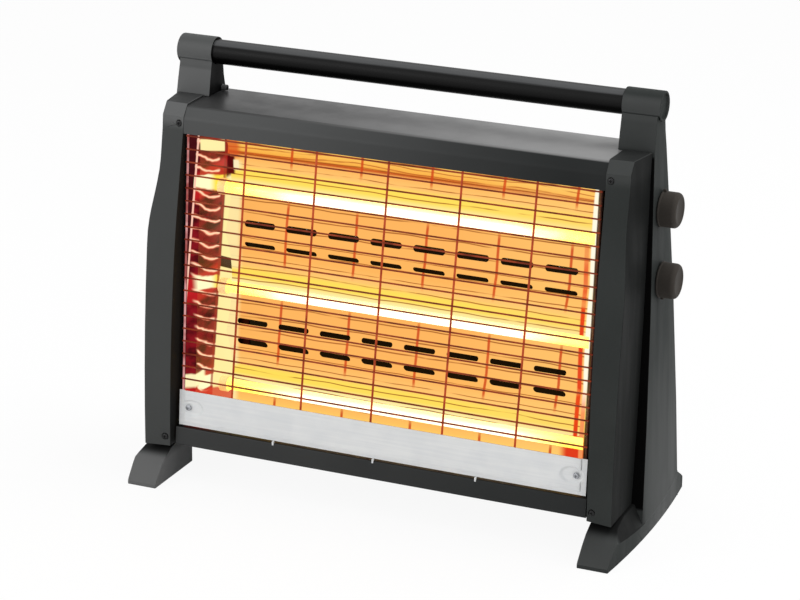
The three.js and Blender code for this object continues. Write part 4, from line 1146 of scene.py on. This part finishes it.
# %% Three lamps
TUBE_RADIUS, TUBE_WALL, TUBE_HALF, TUBE_EASE = 6.0, 1.0, 209, 0.4
TUBE_Y = -2 * MM
CAP_START = 202.7
tube_profile = [
    (-TUBE_HALF, TUBE_RADIUS - TUBE_EASE), (-TUBE_HALF + TUBE_EASE, TUBE_RADIUS),
    (TUBE_HALF - TUBE_EASE, TUBE_RADIUS), (TUBE_HALF, TUBE_RADIUS - TUBE_EASE),
    (TUBE_HALF, TUBE_RADIUS - TUBE_WALL), (-TUBE_HALF, TUBE_RADIUS - TUBE_WALL),
]
cap_profile = [
    (0.4, 6.3), (0, 6.7), (0, 8.0), (0.5, 8.5), (8.4, 8.5), (9, 7.9), (9, 6.5), (18.5, 6.5), (19, 6.0),
    (19, 1.1), (7, 1.1), (6.7, 6.3),
]
for number, height in enumerate(TUBE_HEIGHTS, start=1):
    origin = Vector((CENTRE_X, TUBE_Y, height))
    finished(
        f"tube_glass_{number}", turned(tube_profile, segments=40, origin=origin), QUARTZ,
        [f"quartz_tube_{number}"])
    finished(
        f"wound_coil_{number}", coil_shape(origin), COIL, [f"heating_coil_{number}"])
    for side, sign in (("left", -1), ("right", 1)):
        profile = [(sign * (CAP_START + along), radius) for along, radius in cap_profile]
        finished(
            f"{side}_tube_cap_{number}", turned(profile, segments=40, origin=origin), CERAMIC,
            [f"{side}_ceramic_cap_{number}"])

# %% [markdown]
# ## Moulded end frames
# The end frames and the columns are injection mouldings, and a mould leaves no edge quite sharp.
# Their construction solids are copied, their flat triangles are dissolved into whole faces, and a
# Bevel modifier eases every real edge. Its normals keep the flat faces flat.

# %% Eased edges
def solid_copy(node):
    """A construction solid as a bmesh, with whole faces instead of triangles."""
    bm = bmesh.new()
    bm.from_mesh(frame["nodes"][node].data)
    bmesh.ops.remove_doubles(bm, verts=bm.verts[:], dist=WELD)
    bmesh.ops.dissolve_limit(bm, angle_limit=radians(1), verts=bm.verts[:], edges=bm.edges[:])
    return bm


def eased(piece, width, segments):
    bevel = piece.modifiers.new("eased", "BEVEL")
    bevel.width = width
    bevel.segments = segments
    bevel.limit_method = "ANGLE"
    bevel.angle_limit = radians(34)
    bevel.use_clamp_overlap = False
    bevel.harden_normals = True


def softened(node, name, material, width, segments):
    """A piece from a copy of the solid, eased, with no corner that stands out of the solid's box."""
    piece = finished(name, solid_copy(node), material, [node])
    eased(piece, width, segments)
    low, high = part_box(node)
    for vertex in settled(piece).vertices:
        for axis in range(3):
            vertex.co[axis] = min(max(vertex.co[axis], low[axis]), high[axis])


# %% [markdown]
# ## Front columns
# The columns are drawn straight in the construction. The real ones spread a little towards the
# foot, and their outer edge swells forwards below a soft hip at two thirds of the height. Each copy
# is cut at many heights, which gives it points to be bent at, and one function moves them.

# %% Bending a column
COLUMN_INNER, COLUMN_WIDTH = 225, 29
COLUMN_FOOT, COLUMN_TOP = 37, 393
BEND_FROM, BEND_WHOLE = 26, 46          # distances before the heater's middle plane
INNER_OUT_FOOT, INNER_OUT_TOP = 3.0, -1.1
INNER_BACK, BACK_FROM, BACK_WHOLE = 2.4, 230, 350
HIP_TOP, HIP_FOOT = 338, 258
OUTER_IN, SWELL_OUT, SWELL_FORWARD = 5.5, 6.5, 8.5


def sliced(bm, place, normal, drop_outer):
    """Cuts the whole mesh by a plane, and drops what lies on its outer side if asked to."""
    everything = bm.verts[:] + bm.edges[:] + bm.faces[:]
    bmesh.ops.bisect_plane(bm, geom=everything, plane_co=place, plane_no=normal, clear_outer=drop_outer)


def bent_column(point):
    side = 1 if point.x > CENTRE_X else -1
    x, y, z = ((point.x - CENTRE_X) / MM * side, point.y / MM, point.z / MM)
    outwards = min(max((x - COLUMN_INNER) / COLUMN_WIDTH, 0), 1)
    rise = (z - COLUMN_FOOT) / (COLUMN_TOP - COLUMN_FOOT)
    front = smooth(-y, BEND_FROM, BEND_WHOLE)
    below_hip = 1 - smooth(z, HIP_FOOT, HIP_TOP)
    inner_x = INNER_OUT_FOOT + (INNER_OUT_TOP - INNER_OUT_FOOT) * rise
    inner_y = INNER_BACK * smooth(z, BACK_FROM, BACK_WHOLE)
    outer_x = SWELL_OUT * below_hip - OUTER_IN
    outer_y = -SWELL_FORWARD * below_hip
    x += front * ((1 - outwards) * inner_x + outwards * outer_x)
    y += front * ((1 - outwards) * inner_y + outwards * outer_y)
    return Vector((CENTRE_X + side * x * MM, y * MM, point.z))


# %% Frames and columns
FRAME_EASE, COLUMN_EASE = 0.7 * MM, 0.9 * MM
COLUMN_CUTS = range(48, 380, 12)
for side in ("left", "right"):
    softened(
        f"{side}_end_frame", f"{side}_moulded_frame", FRAME_PLASTIC, FRAME_EASE, 3)
    column = solid_copy(f"{side}_front_column")
    for z in COLUMN_CUTS:
        sliced(column, (0, 0, z * MM), (0, 0, 1), False)
    for vertex in column.verts:
        vertex.co = bent_column(vertex.co)
    piece = finished(
        f"{side}_moulded_column", column, COLUMN_PLASTIC, [f"{side}_front_column"])
    eased(piece, COLUMN_EASE, 3)

# %% [markdown]
# ## Screws
# Ten pan-head screws show on the outside. Each is spun along its own axis, gets its cross recess
# with a Boolean, and is then turned and carried to its place. The column screws move with the bend
# of their column.

# %% Screws
SCREW_HEAD, SHANK = 1.8, 1.5
CROSS = ((3.6, 2.4, 0.7), (0.7, 2.4, 3.6))


def screw_shape(length):
    profile = [
        (-SCREW_HEAD, 0), (-SCREW_HEAD, 1.6), (-1.3, 2.7), (-0.6, 3.15), (0, 3.2), (0, SHANK),
        (length - SHANK, SHANK), (length, 0)]
    return turned(profile, segments=32, closed=False, axis="Y")


def crossed_screw(node, material, length, turn):
    """turn is 0 for a head that looks forwards and pi for one that looks back."""
    low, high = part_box(node)
    seat = middle(node)
    seat.y = low.y + SCREW_HEAD * MM if turn == 0 else high.y - SCREW_HEAD * MM
    if "column" in node:
        seat = bent_column(seat)
    screw = finished(
        node.replace("screw", "cross_screw"), screw_shape(length), material, [node])
    punched(screw, [block(size, (0, -SCREW_HEAD, 0)) for size in CROSS])
    screw.data.transform(Matrix.Translation(seat) @ Matrix.Rotation(turn, 4, "Z"))


for side in ("left", "right"):
    for place, material, length, turn in (
            ("upper_column", SCREW_BLACK, 14, 0), ("lower_column", SCREW_BLACK, 14, 0),
            ("upper_rear", ZINC, 8, pi), ("lower_rear", ZINC, 8, pi), ("panel", ZINC, 8, 0)):
        crossed_screw(f"{side}_{place}_screw", material, length, turn)

# %% [markdown]
# ## End plates
# The end plates are bent sheets that carry the tubes. Their solids already have the shape, so they
# are copied like the frames, and their edges are eased by far less.

# %% End plates
PLATE_EASE = 0.2 * MM
for side in ("left", "right"):
    softened(
        f"{side}_reflector_end", f"{side}_end_plate", END_PLATES[side],
        PLATE_EASE, 2)

# %% [markdown]
# ## The rear
# The rear panel has four rows of vents, each under a pressed hood: half of a flattened ball, opened
# below, with the thickness of the sheet. The cord's inlet near the foot is a turned bush.

# %% Vent hoods
VENT_ROWS, VENT_COUNT, VENT_MARGIN = (0.35, 0.48, 0.61, 0.74), 7, 30
BODY_HALF = 224.7
REAR_BOTTOM, REAR_TOP = 38.3, 389.7
REAR_LEAN = (REAR_BOTTOM_Y - REAR_TOP_Y) / (CASING_TOP - CASING_BOTTOM)
REAR_INSET = 1.3                # of the rear panel's face inside the casing's rear line
HOOD_HALF_SIZES, HOOD_FOOT, HOOD_SHEET = (24.5 * MM, 3.4 * MM, 5.6 * MM), -5 * MM, 0.5 * MM


def hood(x, z):
    bm = bmesh.new()
    bmesh.ops.create_uvsphere(bm, u_segments=32, v_segments=16, radius=1.0)
    bmesh.ops.scale(bm, verts=bm.verts[:], vec=HOOD_HALF_SIZES)
    sliced(bm, (0, 0, HOOD_FOOT), (0, 0, -1), True)
    sliced(bm, (0, 0, 0), (0, -1, 0), True)
    bmesh.ops.recalc_face_normals(bm, faces=bm.faces[:])
    bmesh.ops.solidify(bm, geom=bm.faces[:], thickness=HOOD_SHEET)
    place = Matrix.Translation((x, (rear_y(z) - REAR_INSET) * MM, z * MM))
    lean = Matrix.Rotation(REAR_LEAN, 4, "X")
    bmesh.ops.transform(bm, verts=bm.verts[:], matrix=place @ lean)
    return bm


hoods = []
for share in VENT_ROWS:
    z = REAR_BOTTOM + share * (REAR_TOP - REAR_BOTTOM)
    for step in row(VENT_COUNT, 2 * (BODY_HALF - VENT_MARGIN) / VENT_COUNT):
        hoods.append(hood(CENTRE_X + step * MM, z))
show_box(finished("rear_vent_hoods", merged(hoods), SHADED_CASING))

# %% Cord inlet
INLET_Z = 66
inlet_profile = [
    (-7, 3.6), (-7, 6.6), (-6.6, 7), (0.3, 7), (0.3, 9.6), (0.7, 10), (2.6, 10), (3, 9.6), (3.2, 7.2),
    (8.4, 6.2), (9, 5.7), (9, 4.2), (8.6, 3.6),
]
inlet_origin = Vector((middle("cord_inlet").x, (rear_y(INLET_Z) - REAR_INSET) * MM, INLET_Z * MM))
cord_bush = turned(inlet_profile, segments=48, origin=inlet_origin, tilt=REAR_LEAN, axis="Y")
finished("cord_bush", cord_bush, BLACK_PLASTIC, ["cord_inlet"])

# %% [markdown]
# ## Pieces that keep their construction shape
# The switches, the terminal block and the tip-over switch hide inside, and the rear panel is a plain
# punched sheet. Their solids are good enough as they are and only need a finish.

# %% Finishes of the kept solids
KEPT = {
    "rear_panel": SHADED_CASING, "terminal_block": CERAMIC, "thermal_cutout": BLACK_PLASTIC,
    "tip_switch_frame": ZINC, "tip_switch_pin": ZINC, "tip_switch_pendulum": BRASS,
    "tip_microswitch": BLACK_PLASTIC,
}
for level in ("upper", "lower"):
    KEPT[f"{level}_switch"] = BLACK_PLASTIC
    KEPT[f"{level}_switch_nut"] = ZINC
    KEPT[f"{level}_switch_shaft"] = ZINC
for node, material in KEPT.items():
    mesh = frame["nodes"][node].data
    if not mesh.materials:
        mesh.materials.append(material)
    for index in range(len(mesh.materials)):
        mesh.materials[index] = material
bare = [name for name, node in frame["nodes"].items() if not node.hide_render and name not in KEPT]
print("nodes without a finish:", bare)

# %% [markdown]
# ## The studio
# The photograph is a cut-out on white. A pale floor reaches past the picture's edges. The camera,
# mirrors and glass see it partly glowing, so that it comes out white where nothing shades it, and
# it still takes the heater's soft shadow. Three soft lamps light the heater itself, from above, from
# the front left and from the right, and a plain pale world fills in the rest.

# %% Floor
FLOOR_HALF = 9.0
FLOOR_GLOW, GLOW_SHARE = 1.025, 0.9
floor_shape = bmesh.new()
bmesh.ops.create_grid(floor_shape, x_segments=4, y_segments=4, size=FLOOR_HALF)
floor_mesh = bpy.data.meshes.new("floor")
floor_shape.to_mesh(floor_mesh)
floor_shape.free()
floor = placed("floor", floor_mesh)

paint = Paint("floor", Roughness=0.9, Specular_IOR_Level=0.1)
paint.set(Base_Color=paint.mix(paint.noise(3), (231, 231, 231), (236, 236, 236)))
glow = paint.add("ShaderNodeEmission", {}, {"Color": WHITE, "Strength": FLOOR_GLOW})
matt = Value(paint, paint.shader.outputs[0])
surface = paint.add("ShaderNodeMixShader", {}, {0: paint.seen() * GLOW_SHARE, 1: matt, 2: glow})
paint.feed(paint.tree.nodes["Material Output"].inputs["Surface"], surface)
floor_mesh.materials.append(paint.material)

# %% World
AMBIENT = 0.55
world = bpy.data.worlds.new("studio")
bpy.context.scene.world = world
world.use_nodes = True
sky = Nodes(world.node_tree)
background = sky.tree.nodes["Background"].inputs
sky.feed(background["Color"], WHITE)
sky.feed(background["Strength"], sky.seen() * (1 - AMBIENT) + AMBIENT)


# %% Lamps
def soft_lamp(name, position, target, size, power):
    lamp = bpy.data.lights.new(name, "AREA")
    lamp.shape = "RECTANGLE"
    lamp.size, lamp.size_y = size
    lamp.energy = power
    holder = placed(name, lamp)
    holder.location = position
    holder.rotation_euler = (Vector(target) - Vector(position)).to_track_quat("-Z", "Y").to_euler()


soft_lamp("top_light", (0.7, 0.5, 2.2), (0, 0, 0.3), size=(1.6, 1.2), power=22)
soft_lamp("front_fill", (-1.8, -2.2, 1.4), (0, 0, 0.2), size=(1.4, 1.4), power=16)
soft_lamp("side_light", (2.4, 0.3, 1.0), (0.2, 0, 0.2), size=(1.0, 1.4), power=8)
bpy.context.scene.view_settings.view_transform = "Standard"
